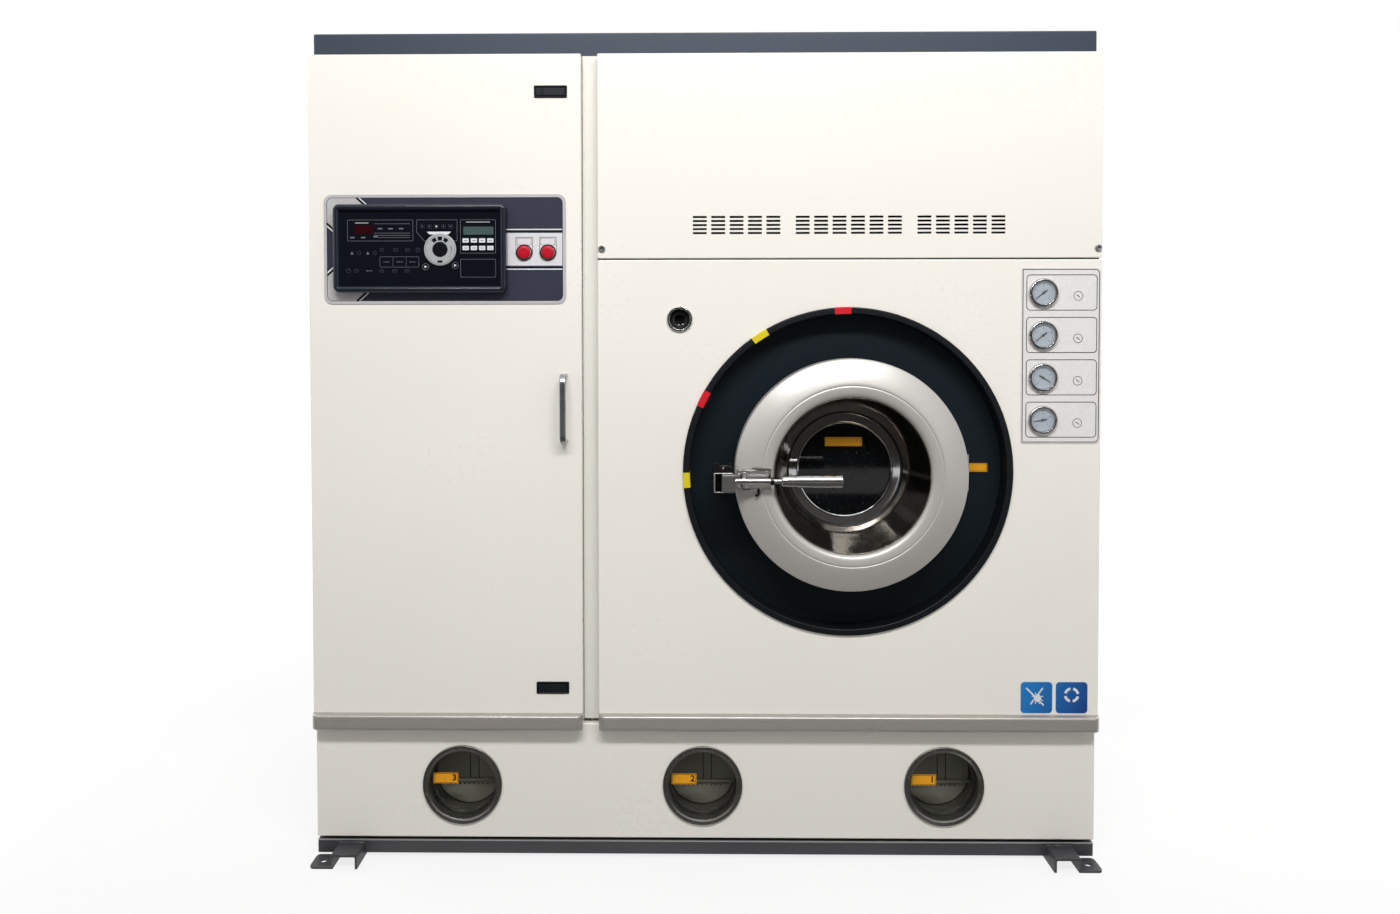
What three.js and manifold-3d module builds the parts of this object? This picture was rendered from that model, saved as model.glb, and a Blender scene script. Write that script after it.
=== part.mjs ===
// Closed-circuit dry cleaning machine: a free-standing cabinet on a welded base frame,
// with the loading door and its drum on the right and the control cabinet on the left.
// Millimetres, +Z up, the viewer looks along +Y. The origin lies on the floor under the
// middle of the bounding box.

import * as THREE from 'three';
import { mergeVertices } from 'three/addons/utils/BufferGeometryUtils.js';
import Module from 'manifold-3d';

const wasm = await Module();
wasm.setup();

// ---- driving dimensions -------------------------------------------------------------

// clearances and stock
const seat = 0.3;
const runningGap = 0.5;
const sheet = 2;
const past = 1;

// facets of a full turn, by size of the round piece
const largeTurn = 40;
const middleTurn = 24;
const smallTurn = 16;
const plainTurn = 12;
const octagon = 8;
const cornerSteps = 4;

// cabinet, all depths are counted from the face of the doors towards the back
const cabinetWidth = 1800;
const carcassDepth = 1108;
const doorThickness = 38;
const doorSetBack = 4;
const groundClearance = 8;
const frameHeight = 32;
const panelLift = 8;
const lowerPanelHeight = 268;
const loadingPanelHeight = 1071;
const ventPanelHeight = 465;
const bandLap = 4;
const bandHeight = 62;

// base frame and its bolt-down feet
const frameSetBack = 3;
const frameWall = 5;
const frameDeck = 4;
const framePockets = 3;
const footReach = 60;
const footInset = 60;
const footWidth = 62;
const footHeight = 33;
const footPlate = 6;
const footTabWidth = 48;
const footTabLength = 58;
const footHoleRadius = 8;

// lower front panel with three sight glasses into the solvent tank
const lowerPanelSetBack = 17;
const portholeHeight = 124;
const portholePitch = 557;
const portholeShift = -3;
const portholeRimRadius = 92;
const portholeBoreRadius = 79;
const portholeSleeveWall = 5.7;
const portholeRimHeight = 6;
const portholeLip = 5;
const portholeGlassThickness = 8;

// doors and panels of the front
const noseHeight = 30;
const noseReach = 20;
const noseCornerRadius = 16;
const cabinetDoorWidth = 621.5;
const columnWidth = 37;
const columnGap = 1.5;
const columnSetBack = 25;
const columnFoot = 9;
const dividerThickness = 4;
const shelfThickness = 3;
const shelfBelowSeam = 21;

// hinge rod of the cabinet door
const doorHingeInset = 10;
const hingeRodRadius = 3.5;
const hingeKnuckleRadius = 6;
const hingeKnuckleHeight = 36;
const hingeAboveSill = 164;
const hingeBelowTop = 212;
const hingeLeafThickness = 4;
const hingeFootWidth = 24;
const hingeFootThickness = 3;
const hingeLugThickness = 3;
const hingeLugWidth = 17;
const hingeLugDepth = 27;

// flush rocker latches of the cabinet door
const latchWidth = 75;
const latchHeight = 28;
const latchFromEdge = 68.5;
const latchAboveSill = 89;
const latchBelowTop = 86;
const latchRim = 3;
const latchBoxDepth = 20;
const latchWall = 2;
const paddleThickness = 4;
const paddleShortShare = 0.25;
const paddlePinRadius = 1.8;

// bow handle of the cabinet door
const handleFromEdge = 39.5;
const handleAboveSill = 652;
const handleLength = 160;
const handleReach = 42;
const handleBarDepth = 10;
const handleBarWidth = 14;
const handleBend = 20;
const handleSteps = 6;

// controller: face plate, moulded housing and two push buttons
const plateFromEdge = 34.5;
const plateWidth = 552;
const plateAboveSill = 970;
const plateHeight = 249;
const plateCorner = 19;
const plateThickness = 2;
const housingFromPlateLeft = 27;
const housingWidth = 392;
const housingFromPlateBottom = 26;
const housingHeight = 199;
const housingCorner = 14;
const housingReach = 25;
const housingRim = 14;
const housingRecess = 10;
const housingBack = 34;
const housingBackInset = 16;
const buttonFromPlateBottom = 117;
const buttonFromPlateRight = 41;
const buttonPitch = 54;
const buttonRadius = 15;
const buttonStemRadius = 11;
const buttonReach = 14;
const buttonHeadHeight = 7;
const buttonStemEnd = 30;

// ventilation slots of the upper panel
const ventLeftGroup = 213.5;
const ventMiddleGroup = 444.5;
const ventRightGroup = 719.5;
const ventColumns = [5, 6, 5];
const ventRows = 5;
const ventAboveSeam = 59;
const ventRowPitch = 9.1;
const ventColumnPitch = 41.7;
const ventLength = 31.5;
const ventHeight = 4.8;

// quarter-turn screws of the upper panel
const screwFromEdge = 9.5;
const screwFromSeam = 24;
const screwHeadRadius = 8;
const screwHeadHeight = 4;
const screwStemRadius = 4;
const screwStemEnd = 20;
const screwSocketRadius = 4;
const screwSocketDepth = 2.5;

// gauge plate and the four pressure gauges
const gaugePlateFromEdge = 3;
const gaugePlateWidth = 179;
const gaugePlateBelowSeam = 21;
const gaugePlateHeight = 398;
const gaugePlateCorner = 12;
const gaugePlateThickness = 1.5;
const gaugeFromPlateLeft = 49;
const gaugeFromPlateTop = 56.5;
const gaugePitch = 96;
const gaugeBezelRadius = 33;
const gaugeBodyRadius = 27.5;
const gaugeDialRadius = 25.5;
const gaugeBezelHeight = 9;
const gaugeDialSink = 7;
const gaugeBodyEnd = 30;
const needleLength = 20;
const needleTail = 7;
const needleHubRadius = 3;
const needleHalfWidth = 0.9;
const needleThickness = 2.4;
// directions of the needles, in degrees clockwise from the top
const needleDirections = [232, 232, 120, 260];

// air inlet port left of the loading opening
const sightShift = -97.75;
const sightBelowSeam = 136;
const sightRimRadius = 29.5;
const sightBodyRadius = 26;
const sightBoreRadius = 23;
const sightHoleRadius = 13;
const sightRimHeight = 5.5;
const sightStep = 12;
const sightEnd = 30;

// loading opening, tub and drum, all on one axis
const drumAxisFromGauges = 391;
const drumAxisAboveSill = 587;
const openingRadius = 364;
const trimInnerRadius = 360;
const trimOuterRadius = 375;
const trimReach = 6.5;
const tubRadius = 400;
const tubFrontDepth = 46;
const tubWall = 4;
const tubLength = 554;
const neckOuterRadius = 222;
const neckInnerRadius = 184;
const neckReach = 12;
const bearingRadius = 70;
const bearingLength = 90;
const shaftRadius = 30;
const ductWidth = 260;
const ductDepth = 200;
const ductFromFront = 150;
const drumRadius = 330;
const drumFromTubFront = 34;
const drumLength = 460;
const drumMouthRadius = 180;
const drumWall = 4;
const lifterCount = 3;
const lifterHeight = 60;
const lifterFoot = 70;
const lifterTop = 26;
const drumHubRadius = 90;
const drumHubThickness = 10;

// drum pulley, belt and motor
const pulleyRadius = 240;
const pulleyWidth = 40;
const pulleyRim = 20;
const pulleyWeb = 16;
const pulleyHubRadius = 60;
const pulleyFromBearing = 10;
const beltThickness = 8;
const beltInset = 3;
const motorFromSide = 135;
const motorAboveTank = 111;
const motorRadius = 95;
const motorLength = 260;
const motorFootWidth = 150;
const motorPulleyRadius = 50;
const motorShaftRadius = 14;
const motorShaftSocket = 30;
const motorPulleyGap = 20;

// loading door
const doorHingeFromRing = 3;
const doorHingePinRadius = 7.5;
const doorSleeveRadius = 12;
const doorSleeveHeight = 84;
const doorEarThickness = 11.7;
const doorEarHalfWidth = 12;
const doorArmLength = 34;
const ringOuterRadius = 260;
const ringEdgeReach = 61;
const ringRidgeRadius = 198;
const ringRidgeReach = 82;
const ringBackReach = 20;
const ringCrownSteps = 6;
const lipRadius = 172;
const lipReach = 73;
const panEndRadius = 134;
const panConeEnd = 40;
const panEnd = 58;
const panFloorRadius = 110;
const panFlangeRadius = 200;
const gasketInnerRadius = 203;
const gasketOuterRadius = 217;
const glassThickness = 7.4;
const glassRadius = 131;
const retainerInnerRadius = 107;
const retainerHeight = 8;

// latch of the loading door
const latchBelowAxis = 6;
const latchPivotInset = 19;
const latchPivotReach = 95;
const latchPinRadius = 4;
const latchSleeveRadius = 7;
const latchSleeveHeight = 23.4;
const latchEarThickness = 4;
const latchEarHalfWidth = 6;
const latchPlateFromPivot = 14;
const latchPlateWidth = 74;
const latchPlateHalfHeight = 21;
const latchPlateFront = 78;
const latchPlateSeat = 66;
const leverAxisReach = 106;
const leverRodRadius = 5.5;
const leverNoseFromPivot = 49;
const leverNoseWidth = 30;
const leverNoseHalfHeight = 27;
const leverNoseFront = 112;
const leverNoseBack = 92;
const leverCollarFromPivot = 64;
const leverCollarWidth = 8;
const leverCollarRadius = 14.5;
const gripFromCollar = 10;
const gripLength = 132;
const gripRootRadius = 11.5;
const gripRadius = 14.5;
const gripGrooves = 3;
const gripGroovePitch = 26;
const gripGrooveDepth = 1;
const gripGrooveWidth = 2;
const strikeFromPivot = 66;
const strikeWidth = 42;
const strikeHalfHeight = 33;
const strikeBar = 4;
const strikeFront = 100;
const strikeBack = 46;
const strikePostHalfHeight = 20;

// solvent tank with the welded saddles of the tub
const tankFromSide = 20;
const tankDepth = 654;
const tankHeight = 263.7;
const tankWall = 4;
const tankSightRadius = 80;
const saddleThickness = 8;
const saddleHalfWidth = 300;
const saddleBelowAxis = 273;
const saddleDepths = [150, 480];

// recovery unit above the tub: casing, fan wheel and fan motor
const casingLeftOfAxis = 177;
const casingFromSide = 70;
const casingFront = 120;
const casingLength = 560;
const casingHeight = 400;
const fanFromSide = 290;
const fanFromFloor = 205;
const fanRadius = 150;
const fanWidth = 100;
const fanFromFront = 90;
const fanHubRadius = 40;
const fanDiscThickness = 4;
const fanBlades = 12;
const fanBladeThickness = 5;
const fanShaftRadius = 12;
const fanMotorRadius = 80;
const fanMotorLength = 180;

// still, filter, pump and electrical plate
const stillFromSide = 300;
const stillDepth = 925;
const stillRadius = 185;
const stillHeight = 860;
const stillDome = 60;
const vesselWall = 4;
const nozzleRadius = 30;
const nozzleHeight = 40;
const filterFromSide = 340;
const filterDepth = 300;
const filterRadius = 110;
const filterHeight = 520;
const filterFlangeRadius = 135;
const filterFlangeHeight = 18;
const filterDome = 40;
const pumpLeftOfAxis = 207;
const pumpDepth = 900;
const pumpRadius = 65;
const pumpLength = 230;
const voluteRadius = 95;
const voluteLength = 60;
const pumpFootHeight = 40;
const electricFromSide = 30;
const electricAboveSill = 684;
const electricBelowTop = 88;
const electricFromDivider = 0.3;
const electricRails = 4;
const electricRailHeight = 70;
const electricRailReach = 55;

// side sheets and back panel
const flangeWidth = 28;
const backSlotRows = 6;
const backSlotWidth = 180;
const backSlotHeight = 8;
const backSlotPitch = 26;
const backSlotFromSide = 450;
const backSlotBelowTop = 288;
const glandFromSide = 300;
const glandBelowTop = 448;
const glandRadius = 22;
const glandBoreRadius = 14;
const glandLength = 30;

// ---- levels and places that follow from them -------------------------------------------

const halfWidth = cabinetWidth / 2;
const carcassFront = doorThickness + doorSetBack;
const panelBack = carcassFront - seat;
const carcassBack = carcassFront + carcassDepth;
const frameTop = groundClearance + frameHeight;
const lowerPanelBottom = frameTop + panelLift;
const lowerPanelTop = lowerPanelBottom + lowerPanelHeight;
const seamLevel = lowerPanelTop + loadingPanelHeight;
const doorTop = seamLevel + ventPanelHeight;
const carcassTop = doorTop - bandLap;
const columnLeft = -halfWidth + cabinetDoorWidth;
const columnRight = columnLeft + columnWidth;
const dividerX = (columnLeft + columnRight) / 2;
const gaugePlateRight = halfWidth - gaugePlateFromEdge;
const gaugePlateLeft = gaugePlateRight - gaugePlateWidth;
const drumAxisX = gaugePlateLeft - drumAxisFromGauges;
const drumAxisLevel = lowerPanelTop + drumAxisAboveSill;
const gripFront = leverAxisReach + gripRadius;
const frameFront = lowerPanelSetBack + frameSetBack;
const frameBack = carcassBack - frameSetBack;
const rearFootEnd = frameBack + footReach;
const doorFaceY = (gripFront - rearFootEnd) / 2;
const tankBottom = frameTop + seat;
const tankTop = tankBottom + tankHeight;
const tankFront = carcassFront + frameWall;
const tankHalfWidth = halfWidth - tankFromSide;
const tubBackDepth = tubFrontDepth + tubLength;
const bearingEnd = tubBackDepth + bearingLength;
const drumFront = tubFrontDepth + drumFromTubFront;
const drumBack = drumFront + drumLength;
const pulleyFront = bearingEnd + pulleyFromBearing;
const pulleyBack = pulleyFront + pulleyWidth;
const shelfTop = seamLevel - shelfBelowSeam + shelfThickness;
const shelfBottom = shelfTop - shelfThickness;
const ductFront = tubFrontDepth + ductFromFront;
const casingBottom = shelfTop + seat;
const casingBack = casingFront + casingLength;
const fanLevel = casingBottom + fanFromFloor;
const hingeX = -halfWidth + doorHingeInset;
const hingeDepth = doorThickness / 2;
const doorHingeX = drumAxisX + ringOuterRadius + doorHingeFromRing;
const latchPivotX = drumAxisX - ringOuterRadius + latchPivotInset;
const latchAxisLevel = drumAxisLevel - latchBelowAxis;
const latchPlateLeft = latchPivotX - latchPlateFromPivot;
const latchPlateRight = latchPlateLeft + latchPlateWidth;
const leverNoseLeft = latchPivotX - leverNoseFromPivot;
const leverNoseRight = leverNoseLeft + leverNoseWidth;
const leverCollarLeft = latchPivotX + leverCollarFromPivot;
const leverCollarRight = leverCollarLeft + leverCollarWidth;
const gripLeft = leverCollarRight + gripFromCollar;
const gripRight = gripLeft + gripLength;
const strikeLeft = latchPivotX - strikeFromPivot;
const strikeRight = strikeLeft + strikeWidth;

// Y of a depth counted from the face of the doors.
const at = (depth) => doorFaceY + depth;

// ---- shapes ------------------------------------------------------------------------

// Points of an arc in a plane, from one angle to another in degrees.
function arc(x, y, radius, from, to, steps) {
  return Array.from({ length: steps + 1 }, (_, i) => {
    const angle = THREE.MathUtils.degToRad(from + ((to - from) * i) / steps);
    return new THREE.Vector2(x + radius * Math.cos(angle), y + radius * Math.sin(angle));
  });
}

function rectangle(left, right, bottom, top) {
  return [[left, bottom], [right, bottom], [right, top], [left, top]]
    .map(([x, y]) => new THREE.Vector2(x, y));
}

// A rectangle whose corners have their own radii, given from the lower left anticlockwise.
function roundedRectangle(left, right, bottom, top, radii) {
  const corners = [
    [left, bottom, 1, 1, 180],
    [right, bottom, -1, 1, 270],
    [right, top, -1, -1, 0],
    [left, top, 1, -1, 90],
  ];
  return corners.flatMap(([x, y, inX, inY, from], i) => {
    const radius = radii[i];
    if (radius === 0) return [new THREE.Vector2(x, y)];
    return arc(x + inX * radius, y + inY * radius, radius, from, from + 90, cornerSteps);
  });
}

// The shape's own plane becomes X-Z, Y-Z or X-Y, and the extrusion follows the third axis.
function extruded(points, length) {
  return new THREE.ExtrudeGeometry(new THREE.Shape(points), { depth: length, bevelEnabled: false });
}

function alongY(points, front, back) {
  const geometry = extruded(points, back - front);
  return geometry.rotateX(Math.PI / 2).translate(0, at(back), 0);
}

function alongX(points, left, right) {
  const axes = new THREE.Matrix4().makeBasis(
    new THREE.Vector3(0, 1, 0),
    new THREE.Vector3(0, 0, 1),
    new THREE.Vector3(1, 0, 0),
  );
  return extruded(points, right - left).applyMatrix4(axes).translate(left, 0, 0);
}

function alongZ(points, bottom, top) {
  return extruded(points, top - bottom).translate(0, 0, bottom);
}

// A box by its limits: X, depth from the door face, and level.
function box(left, right, front, back, bottom, top) {
  const geometry = new THREE.BoxGeometry(right - left, back - front, top - bottom);
  return geometry.translate((left + right) / 2, at((front + back) / 2), (bottom + top) / 2);
}

// A profile of [radius, place] pairs turned about an axis; off the axis it closes on itself.
function turned(profile, steps) {
  const points = profile.map(([radius, place]) => new THREE.Vector2(radius, place));
  const last = points[points.length - 1];
  if (points[0].x > 0 || last.x > 0) points.push(points[0].clone());
  return new THREE.LatheGeometry(points, steps);
}

// Turned about an axis along Y through (x, level), places are depths.
function turnedAlongY(profile, x, level, steps) {
  return turned(profile, steps).translate(x, at(0), level);
}

// Turned about an upright axis, places are levels.
function turnedAlongZ(profile, x, depth, steps) {
  return turned(profile, steps).rotateX(Math.PI / 2).translate(x, at(depth), 0);
}

// Turned about an axis along X, places are X.
function turnedAlongX(profile, depth, level, steps) {
  return turned(profile, steps).rotateZ(-Math.PI / 2).translate(0, at(depth), level);
}

const discProfile = (radius, from, to) => [[0, from], [radius, from], [radius, to], [0, to]];

// ---- solids --------------------------------------------------------------------------

function volume(position, index) {
  const corners = [0, 1, 2].map(() => new THREE.Vector3());
  let sum = 0;
  for (let i = 0; i < index.length; i += 3) {
    corners.forEach((corner, k) => corner.fromArray(position, 3 * index[i + k]));
    sum += corners[0].dot(corners[1].cross(corners[2]));
  }
  return sum;
}

// A closed geometry as a solid, without the triangles that a lathe leaves on its axis.
function solid(geometry) {
  const bare = geometry.clone();
  bare.deleteAttribute('normal');
  bare.deleteAttribute('uv');
  const merged = mergeVertices(bare);
  const source = merged.index.array;
  const kept = [];
  for (let i = 0; i < source.length; i += 3) {
    const [a, b, c] = [source[i], source[i + 1], source[i + 2]];
    if (a !== b && b !== c && c !== a) kept.push(a, b, c);
  }
  const vertProperties = new Float32Array(merged.attributes.position.array);
  if (volume(vertProperties, kept) < 0) kept.reverse();
  const triVerts = new Uint32Array(kept);
  return new wasm.Manifold(new wasm.Mesh({ numProp: 3, vertProperties, triVerts }));
}

const isSolid = (shape) => shape instanceof wasm.Manifold;
const asSolid = (shape) => (isSolid(shape) ? shape : solid(shape));
const join = (...shapes) => shapes.map(asSolid).reduce((whole, next) => whole.add(next));
const cut = (body, ...tools) => tools.map(asSolid).reduce((rest, tool) => rest.subtract(tool), asSolid(body));

function geometryOf(shape) {
  const { vertProperties, triVerts } = asSolid(shape).getMesh();
  const geometry = new THREE.BufferGeometry();
  geometry.setAttribute('position', new THREE.BufferAttribute(vertProperties, 3));
  geometry.setIndex(new THREE.BufferAttribute(triVerts, 1));
  geometry.computeVertexNormals();
  return geometry;
}

// ---- materials -------------------------------------------------------------------------

const finish = {
  enamel: { color: 0xe9e5de, roughness: 0.35, metalness: 0 },
  slate: { color: 0x464c5a, roughness: 0.4, metalness: 0 },
  frameSteel: { color: 0x3c3c3e, roughness: 0.55, metalness: 0.3 },
  recess: { color: 0x141b21, roughness: 0.45, metalness: 0 },
  rubber: { color: 0x1a1c22, roughness: 0.6, metalness: 0 },
  silver: { color: 0xb9b3ab, roughness: 0.4, metalness: 0.5 },
  polished: { color: 0xc9c9c9, roughness: 0.1, metalness: 1 },
  brushed: { color: 0xb4b4b4, roughness: 0.35, metalness: 1 },
  aluminium: { color: 0xd0d0d0, roughness: 0.25, metalness: 1 },
  moulded: { color: 0x141419, roughness: 0.3, metalness: 0 },
  plate: { color: 0x454b58, roughness: 0.35, metalness: 0.1 },
  dial: { color: 0xe4e4e0, roughness: 0.4, metalness: 0 },
  signalRed: { color: 0xc8141c, roughness: 0.3, metalness: 0 },
  glass: { color: 0x0c1113, roughness: 0.05, metalness: 0 },
  castIron: { color: 0x3b4148, roughness: 0.6, metalness: 0.6 },
  motorBlue: { color: 0x3c5368, roughness: 0.5, metalness: 0.2 },
};

const machine = new THREE.Group();

function addPart(name, shape, look) {
  const mesh = new THREE.Mesh(geometryOf(shape), new THREE.MeshStandardMaterial(finish[look]));
  mesh.name = name;
  machine.add(mesh);
}

// ---- base frame ------------------------------------------------------------------------

// An inverted channel that carries the frame past its end, with a bolt tab beside it.
function foot(side, end) {
  const outer = halfWidth - footTabWidth;
  const inner = outer - footWidth;
  const channel = [
    [inner, 0], [inner + footPlate, 0], [inner + footPlate, footHeight - footPlate],
    [outer - footPlate, footHeight - footPlate], [outer - footPlate, 0], [outer, 0],
    [outer, footHeight], [inner, footHeight],
  ].map(([x, z]) => new THREE.Vector2(side * x, z));
  const tip = end < 0 ? frameFront - footReach : rearFootEnd;
  const root = end < 0 ? frameFront + footInset : frameBack - footInset;
  const tabEnd = tip - end * footTabLength;
  const tabXs = [side * (outer - footPlate / 2), side * halfWidth];
  const tabYs = [tip, tabEnd];
  const tab = box(
    Math.min(...tabXs), Math.max(...tabXs), Math.min(...tabYs), Math.max(...tabYs), 0, footPlate,
  );
  const holeX = side * (outer + footTabWidth / 2);
  const hole = turnedAlongZ(
    discProfile(footHoleRadius, -past, footPlate + past), holeX, (tip + tabEnd) / 2, plainTurn,
  );
  return join(alongY(channel, Math.min(tip, root), Math.max(tip, root)), cut(tab, hole));
}

function baseFrame() {
  const slab = box(-halfWidth, halfWidth, frameFront, frameBack, groundClearance, frameTop);
  const pocketWidth = (cabinetWidth - (framePockets + 1) * frameWall) / framePockets;
  const pockets = Array.from({ length: framePockets }, (_, i) => {
    const left = -halfWidth + frameWall + i * (pocketWidth + frameWall);
    return box(
      left, left + pocketWidth, frameFront + frameWall, frameBack - frameWall,
      groundClearance - past, frameTop - frameDeck,
    );
  });
  return join(cut(slab, ...pockets), foot(-1, -1), foot(1, -1), foot(-1, 1), foot(1, 1));
}

addPart('base_frame', baseFrame(), 'frameSteel');

// ---- carcass -------------------------------------------------------------------------------

// A folded side sheet: the outer wall with an inward flange at its front and back.
function sidePanel(side) {
  const back = carcassBack - sheet - seat;
  const profile = [
    [halfWidth, carcassFront], [halfWidth, back], [halfWidth - flangeWidth, back],
    [halfWidth - flangeWidth, back - sheet], [halfWidth - sheet, back - sheet],
    [halfWidth - sheet, carcassFront + sheet], [halfWidth - flangeWidth, carcassFront + sheet],
    [halfWidth - flangeWidth, carcassFront],
  ].map(([x, depth]) => new THREE.Vector2(side * x, at(depth)));
  return alongZ(profile, frameTop + seat, carcassTop - seat);
}

const backSlotXs = [backSlotFromSide - halfWidth, halfWidth - backSlotFromSide];

function backPanel() {
  const glandX = glandFromSide - halfWidth;
  const glandLevel = carcassTop - glandBelowTop;
  const wall = box(
    -halfWidth, halfWidth, carcassBack - sheet, carcassBack, frameTop + seat, carcassTop - seat,
  );
  const slots = backSlotXs.flatMap((x) => Array.from({ length: backSlotRows }, (_, row) => {
    const level = carcassTop - backSlotBelowTop + row * backSlotPitch;
    return box(
      x - backSlotWidth / 2, x + backSlotWidth / 2, carcassBack - sheet - past,
      carcassBack + past, level - backSlotHeight / 2, level + backSlotHeight / 2,
    );
  }));
  const gland = turnedAlongY(
    discProfile(glandRadius, carcassBack - sheet, carcassBack + glandLength),
    glandX, glandLevel, plainTurn,
  );
  const bore = turnedAlongY(
    discProfile(glandBoreRadius, carcassBack - sheet - past, carcassBack + glandLength + past),
    glandX, glandLevel, plainTurn,
  );
  return cut(join(wall, gland), ...slots, bore);
}

function topCover() {
  const block = box(-halfWidth, halfWidth, carcassFront, carcassBack, carcassTop, carcassTop + bandHeight);
  const hollow = box(
    -halfWidth + sheet, halfWidth - sheet, carcassFront + sheet, carcassBack - sheet,
    carcassTop - past, carcassTop + bandHeight - sheet,
  );
  return cut(block, hollow);
}

// The centre column of the front, welded to the partition and to the shelf above the tub.
function innerFrame() {
  const column = box(
    columnLeft + columnGap, columnRight - columnGap, columnSetBack, panelBack,
    lowerPanelTop + columnFoot, doorTop,
  );
  const dividerLeft = dividerX - dividerThickness / 2;
  const dividerRight = dividerX + dividerThickness / 2;
  const divider = box(
    dividerLeft, dividerRight, carcassFront, carcassBack - 2 * sheet - 2 * seat, tankTop + seat,
    carcassTop - seat,
  );
  const weld = box(
    dividerLeft, dividerRight, panelBack - past, carcassFront + past, lowerPanelTop + columnFoot,
    carcassTop - seat,
  );
  const shelf = box(
    dividerX, halfWidth - sheet - seat, carcassFront + sheet + seat,
    carcassBack - 2 * sheet - 2 * seat, shelfBottom, shelfTop,
  );
  const ductHole = box(
    drumAxisX - ductWidth / 2, drumAxisX + ductWidth / 2, ductFront, ductFront + ductDepth,
    shelfBottom - past, shelfTop + past,
  );
  const flangeNotch = box(
    halfWidth - flangeWidth - seat, halfWidth, carcassBack - 3 * sheet - 2 * seat, carcassBack,
    shelfBottom - past, shelfTop + past,
  );
  return cut(join(column, weld, divider, shelf), ductHole, flangeNotch);
}

addPart('left_side_panel', sidePanel(-1), 'enamel');
addPart('right_side_panel', sidePanel(1), 'enamel');
addPart('back_panel', backPanel(), 'enamel');
addPart('top_cover', topCover(), 'slate');
addPart('inner_frame', innerFrame(), 'enamel');

// ---- front panels -------------------------------------------------------------------------

// A folded sheet tray that is open at its back.
function tray(left, right, front, back, bottom, top) {
  const hollow = box(left + sheet, right - sheet, front + sheet, back + past, bottom + sheet, top - sheet);
  return cut(box(left, right, front, back, bottom, top), hollow);
}

// What rounds off a sill's outer corner in plan, on the given side.
function sillCorner(edge, side) {
  const radius = noseCornerRadius;
  const front = at(-noseReach);
  const inner = edge - side * radius;
  const round = arc(0, front + radius, radius, 0, -90, cornerSteps);
  const points = [
    ...round.map((point) => new THREE.Vector2(inner + side * point.x, point.y)),
    new THREE.Vector2(inner, front - past),
    new THREE.Vector2(edge + side * past, front - past),
    new THREE.Vector2(edge + side * past, front + radius),
  ];
  return alongZ(points, lowerPanelTop - past, lowerPanelTop + noseHeight + past);
}

// A folded front panel with a half-round sill along its bottom edge, open at its back.
function sillPanel(left, right, back, top) {
  const radius = noseHeight / 2;
  const profile = [
    new THREE.Vector2(at(back), lowerPanelTop),
    ...arc(at(radius - noseReach), lowerPanelTop + radius, radius, 270, 90, 2 * cornerSteps),
    new THREE.Vector2(at(0), lowerPanelTop + noseHeight),
    new THREE.Vector2(at(0), top),
    new THREE.Vector2(at(back), top),
  ];
  const hollow = box(
    left + sheet, right - sheet, sheet, back + past, lowerPanelTop + sheet, top - sheet,
  );
  return cut(alongX(profile, left, right), hollow, sillCorner(left, -1), sillCorner(right, 1));
}

const portholeXs = [-1, 0, 1].map((place) => portholeShift + place * portholePitch);
const portholeLevel = lowerPanelBottom + portholeHeight;

function lowerFrontPanel() {
  const panel = tray(
    -halfWidth, halfWidth, lowerPanelSetBack, panelBack, lowerPanelBottom, lowerPanelTop - seat,
  );
  const holeRadius = portholeBoreRadius + portholeSleeveWall + seat;
  const holes = portholeXs.map((x) => turnedAlongY(
    discProfile(holeRadius, lowerPanelSetBack - past, panelBack), x, portholeLevel, middleTurn,
  ));
  return cut(panel, ...holes);
}

function portholeRing(x) {
  const front = lowerPanelSetBack - seat - portholeRimHeight;
  const back = tankFront - seat;
  const sleeve = portholeBoreRadius + portholeSleeveWall;
  const profile = [
    [portholeBoreRadius, front + 1], [portholeBoreRadius + 3, front],
    [portholeRimRadius - 3, front], [portholeRimRadius, front + 3],
    [portholeRimRadius, lowerPanelSetBack - seat], [sleeve, lowerPanelSetBack - seat],
    [sleeve, back], [portholeBoreRadius - portholeLip, back],
    [portholeBoreRadius - portholeLip, back - portholeLip],
    [portholeBoreRadius, back - portholeLip],
  ];
  return turnedAlongY(profile, x, portholeLevel, middleTurn);
}

function portholeGlass(x) {
  const back = tankFront - portholeLip - 2 * seat;
  const profile = discProfile(portholeBoreRadius - seat, back - portholeGlassThickness, back);
  return turnedAlongY(profile, x, portholeLevel, middleTurn);
}

addPart('lower_front_panel', lowerFrontPanel(), 'enamel');
portholeXs.forEach((x, i) => {
  addPart(`porthole_ring_${i + 1}`, portholeRing(x), 'polished');
  addPart(`porthole_glass_${i + 1}`, portholeGlass(x), 'glass');
});

function upperVentPanel() {
  const panel = tray(columnRight, halfWidth, 0, panelBack, seamLevel + seat, doorTop);
  const groups = [ventLeftGroup, ventMiddleGroup, ventRightGroup];
  const slots = groups.flatMap((fromColumn, group) => (
    Array.from({ length: ventColumns[group] * ventRows }, (_, i) => {
      const x = columnRight + fromColumn + (i % ventColumns[group]) * ventColumnPitch;
      const row = Math.floor(i / ventColumns[group]);
      const level = seamLevel + ventAboveSeam + row * ventRowPitch;
      return box(x, x + ventLength, -past, sheet + past, level - ventHeight / 2, level + ventHeight / 2);
    })
  ));
  const screwHoles = screwXs.map((x) => turnedAlongY(
    discProfile(screwStemRadius + runningGap, -past, sheet + past), x, screwLevel, smallTurn,
  ));
  return cut(panel, ...slots, ...screwHoles);
}

const screwXs = [columnRight + screwFromEdge, halfWidth - screwFromEdge];
const screwLevel = seamLevel + screwFromSeam;

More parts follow.
